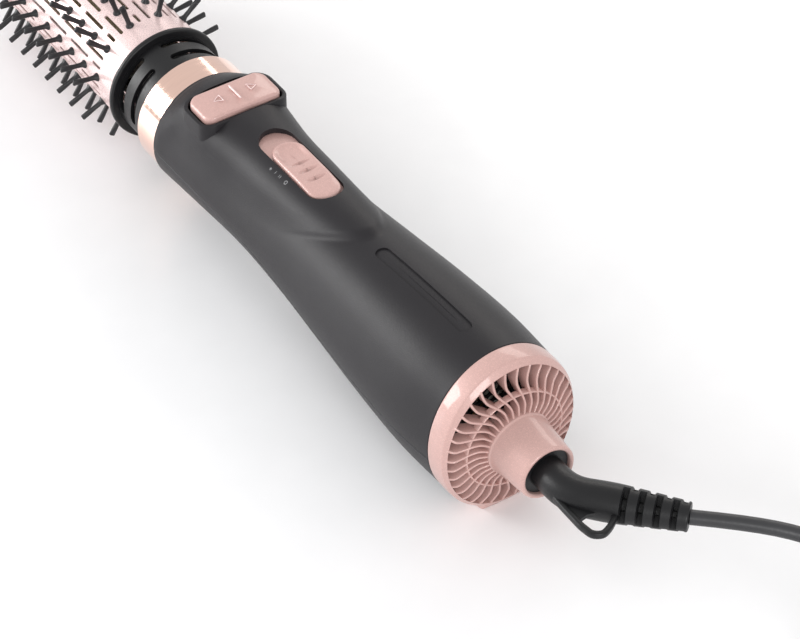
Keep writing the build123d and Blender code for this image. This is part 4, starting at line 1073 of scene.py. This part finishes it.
# ---- strain relief: a bent arm with staggered slots, and its hanging loop ----
ELBOW = Vector((201.0, 0.0))
ARM_END = Vector((231.9, 27.7))
heading = (ARM_END - ELBOW).normalized()
arm_length = (ARM_END - ELBOW).length
BEND = 7.0               # distance from the elbow over which the arm bends, on each side
SLOT_FACE = radians(43.0)
FIRST_SLOT = 19.2
SLOT_PITCH = 5.8
SLOT_HALF = 0.86
SLOT_ROWS = 4
SLOT_OFFSETS = (-1.28, -1.1, -0.94, -0.86, -0.8, 0.0, 0.8, 0.86, 0.94, 1.1, 1.28)
SLOT_REACH = 0.5         # how far a slot's soft lip goes beyond it
LIP_DEPTH, LIP_WIDTH = 0.16, 0.42
SLOT_END = radians(5.0)
SLOTS = []               # distance from the elbow, direction round the arm, half angle, depth
for k in range(SLOT_ROWS):
    place_along = FIRST_SLOT + SLOT_PITCH * k
    SLOTS += [
        (place_along, SLOT_FACE, radians(60.0), 4.2),
        (place_along, SLOT_FACE + pi, radians(60.0), 4.2),
        (place_along + SLOT_PITCH / 2, SLOT_FACE + pi / 2, radians(27.0), 2.6),
        (place_along + SLOT_PITCH / 2, SLOT_FACE - pi / 2, radians(13.0), 1.6),
    ]
ARM_RADIUS = [  # distance from the elbow, radius
    (-14.2, 6.3), (-8.0, 6.4), (0.0, 6.65), (8.0, 6.95), (15.5, 7.0), (24.0, 6.5), (41.6, 5.3),
]
PLAIN_STATIONS = (-14.1, 17.6, 0.9)    # first, end and step of the part without slots
ARM_TIP = [(0.25, 0.1), (0.05, 0.35), (0.0, 0.7)]    # distance before the end, how much thinner


def arm_place(distance):
    """Centre and heading of the arm at a distance from the elbow."""
    if distance < -BEND:
        return ELBOW + Vector((distance, 0.0)), Vector((1.0, 0.0))
    if distance > BEND:
        return ELBOW + heading * distance, heading
    t = (distance + BEND) / (2 * BEND)
    before, after = ELBOW - Vector((BEND, 0.0)), ELBOW + heading * BEND
    centre = before * (1 - t) ** 2 + ELBOW * 2 * t * (1 - t) + after * t**2
    return centre, ((ELBOW - before) * (1 - t) + (after - ELBOW) * t).normalized()


def groove(distance, angle):
    """Depth that the slots take from the arm at a place on it."""
    depth = 0.0
    for middle, direction, half_angle, deep in SLOTS:
        apart = abs(distance - middle)
        if apart > SLOT_HALF + SLOT_REACH:
            continue
        aside = abs((angle - direction + pi) % (2 * pi) - pi)
        lip = LIP_DEPTH * (1 - ease((apart - SLOT_HALF) / LIP_WIDTH))
        across = 1.0 if apart < SLOT_HALF - 0.04 else lip
        around = 1 - ease((aside - half_angle) / SLOT_END)
        depth = max(depth, deep * float(across * around))
    return depth


def relief(segments=120):
    """The whole bent arm with its slots."""
    stations = list(np.arange(*PLAIN_STATIONS))
    for k in range(2 * SLOT_ROWS):
        middle = FIRST_SLOT + SLOT_PITCH / 2 * k
        stations += [middle + offset for offset in SLOT_OFFSETS]
    stations.append(arm_length - 0.7)
    shrink = {arm_length - before: thinner for before, thinner in ARM_TIP}
    stations += list(shrink)
    rings = []
    for distance in stations:
        centre, run = arm_place(distance)
        size = float(smooth_through(ARM_RADIUS, 1, distance)) - shrink.get(distance, 0.0)
        section = []
        for step in range(segments):
            angle = 2 * pi * step / segments
            out = size - groove(distance, angle)
            side = out * cos(angle)
            section.append((centre.x + run.y * side, centre.y - run.x * side, out * sin(angle)))
        rings.append(section)
    return stacked(rings, cap_first=True, cap_last=True)


add_piece(
    "strain_relief_arm", *relief(), "cord_swivel", "black_satin",
    replaced=["strain_relief"], sharp=38.0,
)

LOOP_ROUTE = [
    (196.5, -4.6), (203.0, -5.2), (210.0, -5.4), (216.5, -5.3), (220.6, -4.2), (222.1, -1.6),
    (221.2, 1.6), (219.0, 5.2), (216.6, 8.8),
]
LOOP_HALF = (1.15, 1.4)  # half width in the loop's plane, half height
WEB_HALF = 0.8
WEB = [(200.0, -5.0), (213.0, -5.0), (212.4, -1.0), (214.0, 3.5), (203.0, 1.0)]
STRAP_SQUARENESS = 0.6


def strap(route, half, steps=72, segments=16):
    """Smooth bar with a rounded section along points in the loop's plane."""
    knots = [0.0]
    for (x0, y0), (x1, y1) in zip(route, route[1:]):
        knots.append(knots[-1] + hypot(x1 - x0, y1 - y0))
    table = [(knot, x, y) for knot, (x, y) in zip(knots, route)]
    places = np.linspace(0.0, knots[-1], steps)
    centres = [
        Vector((float(smooth_through(table, 1, p)), float(smooth_through(table, 2, p))))
        for p in places
    ]
    rings = []
    for i, centre in enumerate(centres):
        run = (centres[min(i + 1, steps - 1)] - centres[max(i - 1, 0)]).normalized()
        section = []
        for step in range(segments):
            turn = 2 * pi * (step + 0.5) / segments
            side = half[0] * abs(cos(turn)) ** STRAP_SQUARENESS * (1 if cos(turn) > 0 else -1)
            lift = half[1] * abs(sin(turn)) ** STRAP_SQUARENESS * (1 if sin(turn) > 0 else -1)
            section.append((centre.x + run.y * side, centre.y - run.x * side, lift))
        rings.append(section)
    return stacked(rings, cap_first=True, cap_last=True)


web = prism(WEB, -WEB_HALF, WEB_HALF)
add_piece(
    "hanging_loop", *join(strap(LOOP_ROUTE, LOOP_HALF), web), "cord_swivel", "black_satin",
    replaced=["hang_loop"], sharp=40.0,
)

# ---- heat marks printed beside the slide: plain generic symbols ----
MARK_Y = -9.3
MARK_SIZE = 0.62
PRINT_WIDTH, PRINT_HEIGHT, PRINT_SLICES = 0.24, 0.05, 6
STAR_X, BAR_X, PAIR_X, CIRCLE_X = 24.8, 27.8, (30.2, 31.0), 34.7
CIRCLE_STEPS = 16


FIRST_HEIGHT, HEIGHT_ROUNDS = 27.0, 14


def handle_surface(x, y):
    """Height of the handle above the axis at (x, y), with its fairing."""
    height = FIRST_HEIGHT
    for _ in range(HEIGHT_ROUNDS):
        reach = float(outer_radius(np.array([float(x)]), np.array([atan2(height, y)]))[0])
        height = sqrt(reach**2 - y**2)
    return height


def spoke(x, y, turn, half):
    """Short straight line about (x, y)."""
    return [
        (x - half * cos(turn), y - half * sin(turn)),
        (x, y),
        (x + half * cos(turn), y + half * sin(turn)),
    ]


printed = [spoke(STAR_X, MARK_Y - 0.3, pi * k / 3, MARK_SIZE) for k in range(3)]
printed.append(spoke(BAR_X, MARK_Y, pi / 2, MARK_SIZE))
printed += [spoke(x, MARK_Y, pi / 2, MARK_SIZE) for x in PAIR_X]
marks = [
    stroke(route, PRINT_WIDTH, PRINT_HEIGHT, handle_surface, PRINT_SLICES) for route in printed
]
circle_turns = [2 * pi * k / CIRCLE_STEPS for k in range(CIRCLE_STEPS)]
circle = [
    (CIRCLE_X + MARK_SIZE * cos(turn), MARK_Y + MARK_SIZE * sin(turn)) for turn in circle_turns
]
marks.append(
    stroke(circle, PRINT_WIDTH, PRINT_HEIGHT, handle_surface, PRINT_SLICES, closed=True)
)
finishes["print"] = moulded("printed_marks", (0.3, 0.3, 0.31), 0.5, 1800.0, 0.00001, 0.05)
add_piece("heat_marks", *join(*marks), "handle", "print")


# ---- set, light and finish ----
def soft_box(name, location, target, size, power, color=(1.0, 1.0, 1.0)):
    """Rectangular lamp aimed at a point."""
    data = bpy.data.lights.new(name, "AREA")
    data.shape = "RECTANGLE"
    data.size, data.size_y = size
    data.energy = power
    data.color = color
    lamp = bpy.data.objects.new(name, data)
    lamp.location = location
    direction = Vector(target) - Vector(location)
    lamp.rotation_euler = direction.to_track_quat("-Z", "Y").to_euler()
    bpy.context.scene.collection.objects.link(lamp)


soft_box("key", (-0.85, -0.9, 0.42), (0.1, 0.0, 0.03), (0.7, 0.55), 12.0)
soft_box("fill", (1.3, -0.35, 0.55), (0.1, 0.0, 0.03), (0.6, 0.4), 7.0)
soft_box("back", (-0.5, 0.9, 0.7), (0.0, 0.0, 0.03), (0.9, 0.4), 3.0, (1.0, 0.95, 0.9))

DAYLIGHT = 0.8
world = bpy.data.worlds.new("studio")
world.use_nodes = True
world.node_tree.nodes["Background"].inputs["Color"].default_value = (1.0, 1.0, 1.0, 1.0)
world.node_tree.nodes["Background"].inputs["Strength"].default_value = DAYLIGHT
bpy.context.scene.world = world

FLOOR = 4.0              # half size in metres
floor_mesh = bpy.data.meshes.new("floor")
floor_mesh.from_pydata(
    [(-FLOOR, -FLOOR, 0.0), (FLOOR, -FLOOR, 0.0), (FLOOR, FLOOR, 0.0), (-FLOOR, FLOOR, 0.0)],
    [],
    [(0, 1, 2, 3)],
)
floor = bpy.data.objects.new("floor", floor_mesh)
bpy.context.scene.collection.objects.link(floor)
floor.data.materials.append(moulded("pale_floor", (0.93, 0.93, 0.94), 0.35, 40.0, 0.0, 0.01))
bpy.context.scene.view_settings.view_transform = "Standard"
